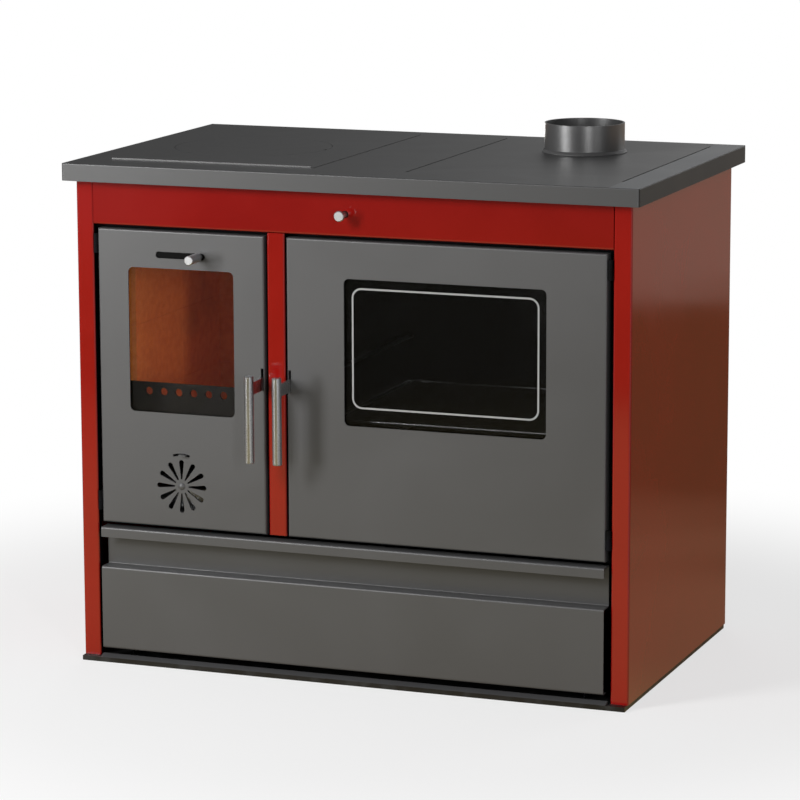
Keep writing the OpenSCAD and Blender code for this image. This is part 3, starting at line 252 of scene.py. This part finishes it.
def charcoal_paint(tree, polish=0.0, brightness=1.0, ior=1.5):
    """Satin heatproof paint with a fine powder grain and broad soft clouds, darkened inside recesses as
    painted shade
    """
    dark = scaled((0.065, 0.065, 0.067), brightness)
    pale = scaled((0.074, 0.074, 0.076), brightness)
    painted_recess_shade = grey(0.02)
    cloud = tree.noise(scale=3.5, detail=3, distortion=0.6)
    grain = tree.noise(scale=1500)
    light = tree.plus(tree.span(cloud, to_high=0.7), tree.span(grain, low=0.35, high=0.65, to_high=0.3))
    # Painted shade: the paint darkens from 2 to 12 mm behind the front plane
    shade = tree.span(tree.axis("Y"), *INTO_RECESS, to_high=0.42)
    return tree.principled({
        "Base Color": tree.blend(shade, tree.blend(light, dark, pale), painted_recess_shade),
        "Roughness": tree.span(cloud, to_low=0.43 - polish, to_high=0.48 - polish),
        "IOR": ior,
        "Specular IOR Level": 0.9,
        "Normal": tree.bump(grain, depth=0.02 * MM),
    })


def collar_paint(tree):
    """The same paint, glossier and deeper, on the flue collar"""
    return charcoal_paint(tree, polish=0.09, brightness=0.8, ior=1.85)


def hob_steel(tree):
    """Painted plate, paler on the right strip and on the low bar, and darker on top and at its ends as
    painted shade
    """
    front_colours = ((0.065, 0.065, 0.066), (0.076, 0.076, 0.077))
    painted_shade_top_colours = ((0.040, 0.040, 0.041), (0.050, 0.050, 0.051))
    painted_shade_end_colour = grey(0.014)
    strip_colour = (0.108, 0.113, 0.122)
    bar_colour = grey(0.13)
    end_roughness = 0.2
    cloud = tree.noise(scale=6, detail=3, distortion=0.6)
    grain = tree.noise(scale=1100, detail=3)
    light = tree.plus(tree.span(cloud, to_high=0.6), tree.span(grain, low=0.35, high=0.65, to_high=0.4))
    front = tree.blend(light, *front_colours)
    top = tree.blend(light, *painted_shade_top_colours)
    on_top = tree.span(tree.axis("Z"), *ON_HOB_TOP)
    on_bar = tree.span(tree.axis("Z"), *ON_HOB_BAR)
    at_end = tree.span(tree.maths("ABSOLUTE", tree.axis("X")), *AT_HOB_END)
    on_strip = tree.times(on_top, tree.span(tree.axis("X"), *AT_HOB_STRIP))
    # Painted shade: the top face and the ends take deeper colours than the front
    plate = tree.blend(at_end, tree.blend(on_top, front, top), painted_shade_end_colour)
    rough = tree.span(cloud, high=0.75, to_low=0.42, to_high=0.38)
    return tree.principled({
        "Base Color": tree.blend(on_bar, tree.blend(on_strip, plate, strip_colour), bar_colour),
        "Roughness": tree.plus(rough, tree.times(at_end, end_roughness)),
        "Specular IOR Level": 0.75,
        "Normal": tree.bump(grain, depth=0.03 * MM),
    })


def black_base(tree):
    """Black satin paint, a little dusty"""
    paint = grey(0.008)
    dusty = (0.03, 0.03, 0.029)
    dust = tree.noise(scale=40, detail=5)
    return tree.principled({
        "Base Color": tree.blend(tree.span(dust, low=0.5, high=0.8), paint, dusty),
        "Roughness": tree.span(dust, high=0.8, to_low=0.35, to_high=0.6),
        "Normal": tree.bump(tree.noise(scale=900), depth=0.02 * MM),
    })


def black_steel(tree):
    """Bare hot-rolled sheet, blackened, with faint blue scale"""
    black = grey(0.004)
    blue = (0.008, 0.008, 0.010)
    scale = tree.noise(scale=14, detail=5, distortion=1.2)
    grain = tree.noise(scale=500, detail=3)
    return tree.principled({
        "Base Color": tree.blend(tree.span(scale, low=0.35), black, blue),
        "Roughness": tree.span(scale, to_low=0.5, to_high=0.65),
        "Specular IOR Level": 0.06,
        "Normal": tree.bump(grain, depth=0.015 * MM),
    })


def back_sheet(tree):
    """Thin black sheet of the back, matt, with cloudy scale and faint rolling marks"""
    dark = (0.034, 0.034, 0.036)
    pale = (0.050, 0.050, 0.053)
    scale = tree.noise(scale=9, detail=5, distortion=1.0)
    rolled = tree.noise(scale=1, detail=3, place=tree.stretched(x=260, y=260, z=7))
    grain = tree.noise(scale=900)
    light = tree.plus(tree.span(scale, to_high=0.6), tree.span(rolled, to_high=0.4))
    return tree.principled({
        "Base Color": tree.blend(light, dark, pale),
        "Roughness": tree.span(scale, to_low=0.46, to_high=0.58),
        "Normal": tree.bump(grain, depth=0.02 * MM),
    })


def air_disc(tree):
    """Blackened sheet whose bent tab was painted with the door"""
    black = grey(0.006)
    paint = grey(0.105)
    scale = tree.noise(scale=20, detail=4)
    on_tab = tree.span(tree.axis("Y"), *BEHIND_TAB, to_low=1, to_high=0)
    return tree.principled({
        "Base Color": tree.blend(on_tab, black, paint),
        "Roughness": tree.span(scale, to_low=0.5, to_high=0.62),
        "Normal": tree.bump(tree.noise(scale=900), depth=0.02 * MM),
    })


def oven_enamel(tree):
    """Dark vitreous enamel with fine pale specks"""
    fleck = (0.06, 0.06, 0.065)
    ground = (0.008, 0.008, 0.009)
    specks = tree.cells(scale=420)
    wave = tree.noise(scale=60)
    return tree.principled({
        "Base Color": tree.blend(tree.span(specks, low=0.1, high=0.16), fleck, ground),
        "Roughness": tree.span(wave, to_low=0.16, to_high=0.26),
        "Normal": tree.bump(wave, depth=0.05 * MM),
    })


def firebrick(tree):
    """Pressed fireclay: warm orange buff pushed vivid as painted firelight, finely pitted, with a little
    soot
    """
    # Painted firelight: the buff is pushed to a vivid orange
    deep = (0.84, 0.22, 0.045)
    pale = (0.94, 0.30, 0.07)
    sooty = (0.16, 0.07, 0.035)
    clay_height = 0.8
    clay = tree.noise(scale=90, detail=4, roughness=0.6)
    pits = tree.cells(scale=320)
    soot = tree.noise(scale=5, detail=3)
    warm = tree.blend(tree.span(clay), deep, pale)
    height = tree.plus(tree.span(pits, low=0.05, high=0.35), tree.times(clay, clay_height))
    return tree.principled({
        "Base Color": tree.blend(tree.span(soot, low=0.55, high=0.85, to_high=0.5), warm, sooty),
        "Roughness": tree.span(clay, low=0.2, high=0.8, to_low=0.8, to_high=0.95),
        "Normal": tree.bump(height, depth=0.4 * MM),
    })


def cast_iron(tree):
    """Sand-cast grate, rough, with a breath of rust"""
    iron = (0.035, 0.034, 0.033)
    rusty = (0.09, 0.045, 0.028)
    sand = tree.noise(scale=260, detail=5, roughness=0.7)
    rust = tree.noise(scale=22, detail=4)
    return tree.principled({
        "Base Color": tree.blend(tree.span(rust, low=0.5, high=0.8, to_high=0.7), iron, rusty),
        "Metallic": 0.3,
        "Roughness": tree.span(sand, to_low=0.6, to_high=0.8),
        "Normal": tree.bump(sand, depth=0.3 * MM),
    })


def zinc_steel(tree):
    """Galvanised steel with its spangle"""
    dull = (0.36, 0.37, 0.38)
    bright = (0.56, 0.57, 0.58)
    spangle = tree.axis("X", tree.cells(scale=140, output="Color"))
    return tree.principled({
        "Base Color": tree.blend(spangle, dull, bright),
        "Metallic": 1.0,
        "Roughness": tree.span(spangle, low=0, high=1, to_low=0.32, to_high=0.48),
        "Normal": tree.bump(tree.noise(scale=300), depth=0.02 * MM),
    })


def chrome_wire(tree):
    """Plated wire, bright, with faint draw marks"""
    dull = (0.62, 0.63, 0.65)
    bright = (0.78, 0.79, 0.80)
    marks = tree.noise(scale=200)
    return tree.principled({
        "Base Color": tree.blend(marks, dull, bright),
        "Metallic": 1.0,
        "Roughness": tree.span(marks, to_low=0.08, to_high=0.2),
        "Normal": tree.bump(marks, depth=0.01 * MM),
    })


def satin_steel(tree):
    """Stainless bar, brushed along its length"""
    dull = (0.50, 0.51, 0.54)
    bright = (0.58, 0.59, 0.62)
    brush = tree.noise(scale=1, detail=3, place=tree.stretched(x=1500, y=1500, z=12))
    fine = tree.noise(scale=900)
    return tree.principled({
        "Base Color": tree.blend(tree.span(brush), dull, bright),
        "Metallic": 1.0,
        "Roughness": tree.plus(tree.span(brush, to_low=0.22, to_high=0.3), tree.span(fine, to_high=0.04)),
        "Normal": tree.bump(brush, depth=0.006 * MM),
    })


def turned_steel(tree):
    """Stainless knob, turned, with fine marks"""
    dull = (0.52, 0.53, 0.55)
    bright = (0.62, 0.63, 0.65)
    fine = tree.noise(scale=700)
    marks = tree.noise(scale=1, place=tree.stretched(x=900, y=1200, z=900))
    return tree.principled({
        "Base Color": tree.blend(fine, dull, bright),
        "Metallic": 1.0,
        "Roughness": tree.span(marks, to_low=0.38, to_high=0.46),
        "Normal": tree.bump(marks, depth=0.006 * MM),
    })


def clear_pane(tree, thin, thick, lamp_tint):
    """Flat glass that bends nothing for lamps, so that they light what is behind it"""
    film = tree.noise(scale=7, detail=3, distortion=1.0)
    glass = tree.principled({
        "Base Color": tree.blend(film, thin, thick),
        "Roughness": 0.0,
        "IOR": 1.22,
        "Transmission Weight": 1.0,
    })
    path = tree.add("LightPath").outputs
    lamps = tree.maths("MAXIMUM", path["Is Shadow Ray"], path["Is Diffuse Ray"])
    open_pane = tree.add("BsdfTransparent", {"Color": opaque(lamp_tint)}).outputs[0]
    return tree.mix_shaders(lamps, glass, open_pane)


def fire_glass(tree):
    """Ceramic glass with its faint amber"""
    thin = (0.98, 0.95, 0.90)
    thick = (0.95, 0.91, 0.85)
    lamp_tint = (0.96, 0.93, 0.88)
    return clear_pane(tree, thin, thick, lamp_tint)


def oven_glass(tree):
    """Smoked glass"""
    return clear_pane(tree, thin=grey(0.40), thick=grey(0.36), lamp_tint=grey(0.3))


def rope_seal(tree):
    """Knitted glass fibre, grey white"""
    clean = (0.58, 0.56, 0.51)
    sooty = (0.34, 0.32, 0.29)
    fibre = tree.noise(scale=1400, detail=3)
    soot = tree.noise(scale=30, detail=3)
    return tree.principled({
        "Base Color": tree.blend(tree.span(soot, low=0.4, high=0.75), clean, sooty),
        "Roughness": tree.span(fibre, to_low=0.8, to_high=0.95),
        "Sheen Weight": 0.2,
        "Normal": tree.bump(fibre, depth=0.1 * MM),
    })


def printed_line(tree):
    """Fired pale grey ink on the oven glass"""
    dark = (0.38, 0.38, 0.37)
    pale = (0.44, 0.44, 0.43)
    grain = tree.noise(scale=900)
    return tree.principled({
        "Base Color": tree.blend(grain, dark, pale),
        "Roughness": tree.span(grain, to_low=0.4, to_high=0.5),
    })


def make_material(finish):
    material = bpy.data.materials.new(finish.__name__)
    tree = Tree(material)
    tree.surface(finish(tree))
    return material


FINISHES = {finish.__name__: make_material(finish) for finish in (
    red_enamel, fascia_enamel, side_enamel, charcoal_paint, collar_paint, hob_steel, black_base,
    black_steel, back_sheet, air_disc, oven_enamel, firebrick, cast_iron, zinc_steel, chrome_wire,
    satin_steel, turned_steel, fire_glass, oven_glass, rope_seal, printed_line)}

# Nodes that have a finish of their own in place of their slot's
OWN_FINISH = {
    "top_fascia": "fascia_enamel",
    # Painted light: the right side panel's enamel is made paler
    "right_side_panel": "side_enamel",
    "back_panel": "back_sheet",
    "flue_collar": "collar_paint",
    "primary_air_disc": "air_disc",
    "secondary_air_knob": "turned_steel",
    "damper_knob": "turned_steel",
}


def dress_nodes():
    """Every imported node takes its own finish, or else its slot's"""
    for part in frame["record"]["subparts"]:
        mesh = frame["nodes"][part["node"]].data
        mesh.materials.clear()
        mesh.materials.append(FINISHES[OWN_FINISH.get(part["node"], part["material_slot"])])


def add_piece(name, body, slot, mesh_parts, finish=None, smooth=True):
    """A new mesh piece from (points, faces) pairs in metres, riding on a body"""
    points, faces = [], []
    for part_points, part_faces in mesh_parts:
        first = len(points)
        points += part_points
        faces += [tuple(first + i for i in face) for face in part_faces]
    mesh = bpy.data.meshes.new(name)
    mesh.from_pydata([tuple(p) for p in points], [], faces)
    shape = bmesh.new()
    shape.from_mesh(mesh)
    bmesh.ops.recalc_face_normals(shape, faces=shape.faces)
    shape.to_mesh(mesh)
    shape.free()
    if smooth:
        mesh.shade_smooth()
    else:
        mesh.shade_flat()
    mesh.materials.append(FINISHES[finish or slot])
    piece = bpy.data.objects.new(name, mesh)
    bpy.context.scene.collection.objects.link(piece)
    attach(piece, body)
    return piece


def ring_faces(rings, sides, closed=True):
    """Quads between rings of points, each ring a closed loop"""
    last = rings if closed else rings - 1
    return [(ring * sides + side, ring * sides + (side + 1) % sides,
             (ring + 1) % rings * sides + (side + 1) % sides, (ring + 1) % rings * sides + side)
            for ring in range(last) for side in range(sides)]


# The fewest steps round a corner
CORNER_STEPS = 4


def round_loop(left, right, bottom, top, radius, step):
    """Points about a step apart along a rectangle with round corners, each with its outward direction"""
    corners = [(Vector((right - radius, 0, bottom + radius)), -90),
               (Vector((right - radius, 0, top - radius)), 0),
               (Vector((left + radius, 0, top - radius)), 90),
               (Vector((left + radius, 0, bottom + radius)), 180)]
    loop = []
    for (corner, start), (next_corner, _) in zip(corners, corners[1:] + corners[:1]):
        turns = max(CORNER_STEPS, round(radius * math.pi / 2 / step))
        for i in range(turns + 1):
            angle = math.radians(start + 90 * i / turns)
            out = Vector((math.cos(angle), 0, math.sin(angle)))
            loop.append((corner + out * radius, out))
        way = next_corner - corner
        count = round(way.length / step)
        end, out = loop[-1]
        loop += [(end + way * i / count, out) for i in range(1, count)]
    return loop


# Braided seals. The relief is the greatest depth between strands, as a share of the rope's half width
SEAL_HALF_WIDTH = 4.1 * MM
SEAL_CORNER = 14 * MM
SEAL_STEP = 1.3 * MM
SEAL_SIDES = 20
SEAL_STRANDS = 4
SEAL_PITCH = 9 * MM
SEAL_RELIEF = 0.20485


def braided_seal(node, body):
    """A braided rope in the seal's own space, its strands crossing in two slants"""
    low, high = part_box(node)
    half_depth = Vector((0, (high.y - low.y) / 2, 0))
    core = Vector((0, (low.y + high.y) / 2, 0))
    loop = round_loop(low.x + SEAL_HALF_WIDTH, high.x - SEAL_HALF_WIDTH, low.z + SEAL_HALF_WIDTH,
                      high.z - SEAL_HALF_WIDTH, SEAL_CORNER, SEAL_STEP)
    length = sum((loop[i][0] - loop[i - 1][0]).length for i in range(len(loop)))
    turns = round(length / SEAL_PITCH)
    points = []
    run = 0
    for i, (middle, out) in enumerate(loop):
        if i:
            run += (middle - loop[i - 1][0]).length
        along = 2 * math.pi * turns * run / length
        for side in range(SEAL_SIDES):
            angle = 2 * math.pi * side / SEAL_SIDES
            weave = max(abs(math.cos(SEAL_STRANDS / 2 * angle + along / 2)),
                        abs(math.cos(SEAL_STRANDS / 2 * angle - along / 2)))
            reach = 1 - SEAL_RELIEF * (1 - weave)
            across = out * SEAL_HALF_WIDTH * math.cos(angle) + half_depth * math.sin(angle)
            points.append(middle + core + across * reach)
    piece = add_piece(node + "_braid", body, "rope_seal", [(points, ring_faces(len(loop), SEAL_SIDES))])
    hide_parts(node)


# Weld bead round the collar's foot. Its profile's points lie in from its rim and up from the hob, and
# the lag is how far a ripple trails halfway up, as a share of its own length
BEAD_PROFILE = ((0.6 * MM, 1.3 * MM), (1.7 * MM, 3.0 * MM), (3.0 * MM, 4.7 * MM))
BEAD_TOP_WIDTH = 0.3 * MM
BEAD_RIPPLES = 190
BEAD_STEPS = 6
BEAD_RELIEF = 0.45 * MM
BEAD_LAG = 0.5


def weld_bead():
    """A fillet weld with its ripples, in the space of the plain bead"""
    low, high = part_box("flue_bead")
    collar_low, collar_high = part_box("flue_collar")
    middle = (low + high) / 2
    outer = (high.x - low.x) / 2
    inner = (collar_high.x - collar_low.x) / 2
    height = high.z - low.z
    section = [(inner, 0), (outer, 0)]
    section += [(outer - back, up) for back, up in BEAD_PROFILE]
    section += [(inner + BEAD_TOP_WIDTH, height), (inner, height)]
    points = []
    count = BEAD_RIPPLES * BEAD_STEPS
    for i in range(count):
        angle = 2 * math.pi * i / count
        for j, (radius, up) in enumerate(section):
            if 0 < j < len(section) - 1:
                lag = BEAD_LAG * math.sin(math.pi * up / height)
                radius -= BEAD_RELIEF * (0.5 - 0.5 * math.cos(2 * math.pi * (i / BEAD_STEPS + lag)))
            across = Vector((math.cos(angle), math.sin(angle), 0)) * radius
            points.append(Vector((middle.x, middle.y, low.z + up)) + across)
    faces = ring_faces(count, len(section))
    piece = add_piece("flue_weld_bead", "cabinet", "charcoal_paint", [(points, faces)])
    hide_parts("flue_bead")


# Cross-recessed screws in the back. The dome is how far a head falls at its rim, as a share of its
# height, and the curve is the power of the radius that it falls with
SCREW_SIDES = 32
SCREW_RINGS = 9
SCREW_DOME = 0.55
SCREW_CURVE = 4
RECESS_HALF_WIDTH = 0.55 * MM
RECESS_REACH = 2.1 * MM
RECESS_DEPTH = 1.1 * MM
SAME_POINT = 0.01 * MM


def solids_of(node):
    """The boxes of a node's separate solids, each as its lowest and its highest corner"""
    shape = bmesh.new()
    shape.from_mesh(frame["nodes"][node].data)
    bmesh.ops.remove_doubles(shape, verts=shape.verts, dist=SAME_POINT)
    left = set(shape.verts)
    boxes = []
    while left:
        group = []
        reached = [left.pop()]
        while reached:
            vert = reached.pop()
            group.append(vert.co)
            near = {edge.other_vert(vert) for edge in vert.link_edges} & left
            left -= near
            reached += near
        boxes.append([Vector([pick(values) for values in zip(*group)]) for pick in (min, max)])
    shape.free()
    return sorted(boxes, key=lambda box: tuple(box[0]))


def pan_head(low, high):
    """A domed head with a cross recess, facing +y"""
    middle = (low + high) / 2
    radius = (high.x - low.x) / 2
    height = high.y - low.y
    angles = [2 * math.pi * side / SCREW_SIDES for side in range(SCREW_SIDES)]
    rim = [(radius * math.cos(angle), radius * math.sin(angle)) for angle in angles]
    points = []
    for ring in range(SCREW_RINGS + 1):
        share = ring / SCREW_RINGS
        for x, z in rim:
            near, far = sorted((abs(x * share), abs(z * share)))
            up = height * (1 - SCREW_DOME * share ** SCREW_CURVE)
            if near < RECESS_HALF_WIDTH and far < RECESS_REACH:
                up -= RECESS_DEPTH
            points.append((middle.x + x * share, low.y + up, middle.z + z * share))
    points += [(middle.x + x, low.y, middle.z + z) for x, z in rim]
    faces = ring_faces(SCREW_RINGS + 2, SCREW_SIDES, closed=False)
    faces.append(tuple((SCREW_RINGS + 1) * SCREW_SIDES + side for side in range(SCREW_SIDES)))
    return points, faces


def back_screws():
    heads = [pan_head(*box) for box in solids_of("back_screws")]
    piece = add_piece("back_screw_heads", "cabinet", "zinc_steel", heads)
    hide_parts("back_screws")


# Printed line on the front of the oven glass
LINE_FROM_LEFT = 23.3 * MM
LINE_FROM_RIGHT = 23.2 * MM
LINE_FROM_BOTTOM = 39.6 * MM
LINE_FROM_TOP = 25 * MM
LINE_CORNER = 15.5 * MM
LINE_WIDTH = 3 * MM
LINE_STEP = 2 * MM
LINE_THICK = 0.06 * MM


def glass_line():
    """A thin flat band along a rounded rectangle, with four points to each of its sections"""
    low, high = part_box("oven_door_glass")
    loop = round_loop(low.x + LINE_FROM_LEFT, high.x - LINE_FROM_RIGHT, low.z + LINE_FROM_BOTTOM,
                      high.z - LINE_FROM_TOP, LINE_CORNER, LINE_STEP)
    section = ((-1, 0), (1, 0), (1, 1), (-1, 1))
    points = []
    for middle, out in loop:
        for aside, forward in section:
            depth = Vector((0, low.y - forward * LINE_THICK, 0))
            points.append(middle + out * aside * LINE_WIDTH / 2 + depth)
    faces = ring_faces(len(loop), len(section))
    add_piece("oven_glass_line", "oven_door", None, [(points, faces)], finish="printed_line", smooth=False)


# Lights: name, place, aim, width, height, watts
LIGHTS = (
    ("high_key", (-1.5, -2.3, 2.0), (0, 0, 0.45), 0.6, 1.0, 42),
    ("left_key", (-2.15, -2.35, 1.15), (0, 0, 0.5), 0.5, 1.6, 42),
    ("front", (2.1, -3.0, 1.2), (0, 0.2, 0.7), 0.3, 1.7, 26),
    ("fill", (2.6, -1.2, 1.2), (0.45, 0.3, 0.5), 0.8, 1.4, 4),
    ("back", (1.9, 2.9, 1.6), (0, 0.4, 0.6), 1.2, 1.2, 12),
    ("low_back", (-0.9, 3.0, 0.5), (0, 0.6, 0.45), 1.2, 0.5, 26),
)


def make_lights():
    for name, place, aim, width, height, watts in LIGHTS:
        data = bpy.data.lights.new(name, "AREA")
        data.shape = "RECTANGLE"
        data.size, data.size_y = width, height
        data.energy = watts
        lamp = bpy.data.objects.new(name, data)
        lamp.location = place
        lamp.rotation_euler = (Vector(aim) - Vector(place)).to_track_quat("-Z", "Y").to_euler()
        lamp.visible_camera = False
        bpy.context.scene.collection.objects.link(lamp)


# Colours that only mirrors see on the floor: near the stove, in a ring round it, far off and aside
NEAR_FRONT = (0.46, 0.38, 0.18)
NEAR_BACK = (0.31, 0.20, 0.11)
RING = (0.12, 0.10, 0.045)
FAR_FRONT = (0.08, 0.08, 0.075)
FAR_BACK = (0.38, 0.29, 0.22)
ASIDE = (0.33, 0.34, 0.35)

# The studio that mirrors see: how bright each wall is, and the directions between which it fades
FRONT_LIGHT = 0.08
FRONT_EDGE = (-0.88, -0.5)
LEFT_LIGHT = 0.32
LEFT_EDGE = (-0.85, -0.55)
RIGHT_LIGHT = 0.12
RIGHT_EDGE = (0.55, 0.85)
BACK_LIGHT = 1.12
BACK_EDGE = (0.3, 0.7)
BACK_LEFT_EDGE = (-0.38, -0.1)
BACK_RIGHT_EDGE = (0.2, 0.5)
TOP_LIGHT = 0.15
TOP_EDGE = (0.3, 0.8)
BASE_LIGHT = 0.06
GROUND_EDGE = (-0.3, 0.3)
HORIZON_EDGE = (-0.02, 0.02)

# The even light that everything else gets
AMBIENT = 0.19


def make_world():
    """White to the camera, a plain studio with a dim front to mirrors, and even grey light to the rest"""
    world = bpy.data.worlds.new("studio")
    bpy.context.scene.world = world
    tree = Tree(world, "Generated")
    path = tree.add("LightPath").outputs
    across, along, up = (tree.axis(name) for name in "XYZ")
    front = tree.span(along, *FRONT_EDGE, to_low=1, to_high=0)
    left = tree.span(across, *LEFT_EDGE, to_low=LEFT_LIGHT, to_high=0)
    right = tree.span(across, *RIGHT_EDGE, to_high=RIGHT_LIGHT)
    from_left = tree.span(across, *BACK_LEFT_EDGE)
    to_right = tree.span(across, *BACK_RIGHT_EDGE, to_low=BACK_LIGHT, to_high=0)
    back = tree.times(tree.span(along, *BACK_EDGE), tree.times(from_left, to_right))
    above = tree.span(up, *TOP_EDGE, to_high=TOP_LIGHT)
    around = tree.plus(tree.plus(tree.plus(left, right), back), tree.plus(above, BASE_LIGHT))
    wall = tree.blend(front, tree.blend(around, grey(0), grey(1)), grey(FRONT_LIGHT))
    ground = tree.blend(tree.span(along, *GROUND_EDGE), FAR_FRONT, FAR_BACK)
    shine = tree.blend(tree.span(up, *HORIZON_EDGE), ground, wall)
    ambient = tree.add("Background", {"Color": WHITE, "Strength": AMBIENT}).outputs[0]
    mirrored = tree.add("Background", {"Color": shine, "Strength": 1.0}).outputs[0]
    white = tree.add("Background", {"Color": WHITE, "Strength": 1.0}).outputs[0]
    seen = tree.maths("MAXIMUM", path["Is Camera Ray"], path["Is Transmission Ray"])
    glossy = tree.mix_shaders(path["Is Glossy Ray"], ambient, mirrored)
    tree.add("OutputWorld", {"Surface": tree.mix_shaders(seen, glossy, white)})


# Floor: a pale disc that fades into the white round it
FLOOR_RADIUS = 7
FLOOR_SEGMENTS = 96
FLOOR_PALE = 0.9
FLOOR_GREY = 0.3
FLOOR_WHITE = 0.65
FADE_EDGE = (0.75, 1.5)

# Its mirrored colours: the wavy rings between them, by distance, and the straight edges across x and y
MIRROR_MIDDLE = (0, -0.5, 0)
WAVE_SCALE = 1.1
WAVE_REACH = 0.3
NEAR_EDGE = (1.4, 2.3)
FAR_EDGE = (4.7, 5.1)
BACKWARD_EDGE = (-0.4, 0.4)
ASIDE_RIGHT_EDGE = (0.7, 1.1)
ASIDE_LEFT_EDGE = (-1.6, -1.2)
ASIDE_FRONT_EDGE = (-1.4, -1.0)


def make_floor():
    """Pale, with the shadow near the stove, white away from it, and coloured to mirrors"""
    material = bpy.data.materials.new("floor")
    tree = Tree(material)
    path = tree.add("LightPath").outputs
    middle = (cad_box[0] + cad_box[1]) / 2
    middle.z = 0
    gone = tree.span(tree.distance(middle), *FADE_EDGE, to_low=FLOOR_WHITE, to_high=1)
    seen = tree.maths("MAXIMUM", path["Is Camera Ray"], path["Is Transmission Ray"])
    pale = tree.add("BsdfDiffuse", {"Color": opaque(grey(FLOOR_PALE))}).outputs[0]
    dull = tree.add("BsdfDiffuse", {"Color": opaque(grey(FLOOR_GREY))}).outputs[0]
    white = tree.add("Emission", {"Color": WHITE, "Strength": 1.0}).outputs[0]
    wave = tree.span(tree.noise(WAVE_SCALE), to_low=-WAVE_REACH, to_high=WAVE_REACH)
    reach = tree.plus(tree.distance(MIRROR_MIDDLE), wave)
    backward = tree.span(tree.axis("Y"), *BACKWARD_EDGE)
    near = tree.blend(backward, NEAR_FRONT, NEAR_BACK)
    far = tree.blend(backward, FAR_FRONT, FAR_BACK)
    inside = tree.blend(tree.span(reach, *NEAR_EDGE), near, RING)
    rings = tree.blend(tree.span(reach, *FAR_EDGE), inside, far)
    right = tree.span(tree.axis("X"), *ASIDE_RIGHT_EDGE)
    leftward = tree.span(tree.axis("X"), *ASIDE_LEFT_EDGE, to_low=1, to_high=0)
    left = tree.times(leftward, tree.span(tree.axis("Y"), *ASIDE_FRONT_EDGE))
    forward = tree.maths("SUBTRACT", 1, backward)
    aside = tree.times(tree.maths("MAXIMUM", right, left), forward)
    mirror = tree.blend(aside, rings, ASIDE)
    mirrored = tree.add("Emission", {"Color": mirror, "Strength": 1.0}).outputs[0]
    unseen = tree.mix_shaders(path["Is Glossy Ray"], dull, mirrored)
    tree.surface(tree.mix_shaders(seen, unseen, tree.mix_shaders(gone, pale, white)))
    shape = bmesh.new()
    bmesh.ops.create_circle(shape, cap_ends=True, segments=FLOOR_SEGMENTS, radius=FLOOR_RADIUS,
                            matrix=Matrix.Translation(middle))
    mesh = bpy.data.meshes.new("floor")
    shape.to_mesh(mesh)
    shape.free()
    mesh.materials.append(material)
    floor = bpy.data.objects.new("floor", mesh)
    bpy.context.scene.collection.objects.link(floor)


make_camera()
dress_nodes()
braided_seal("fire_door_seal", "fire_door")
braided_seal("oven_door_seal", "oven_door")
weld_bead()
back_screws()
glass_line()
make_lights()
make_world()
make_floor()
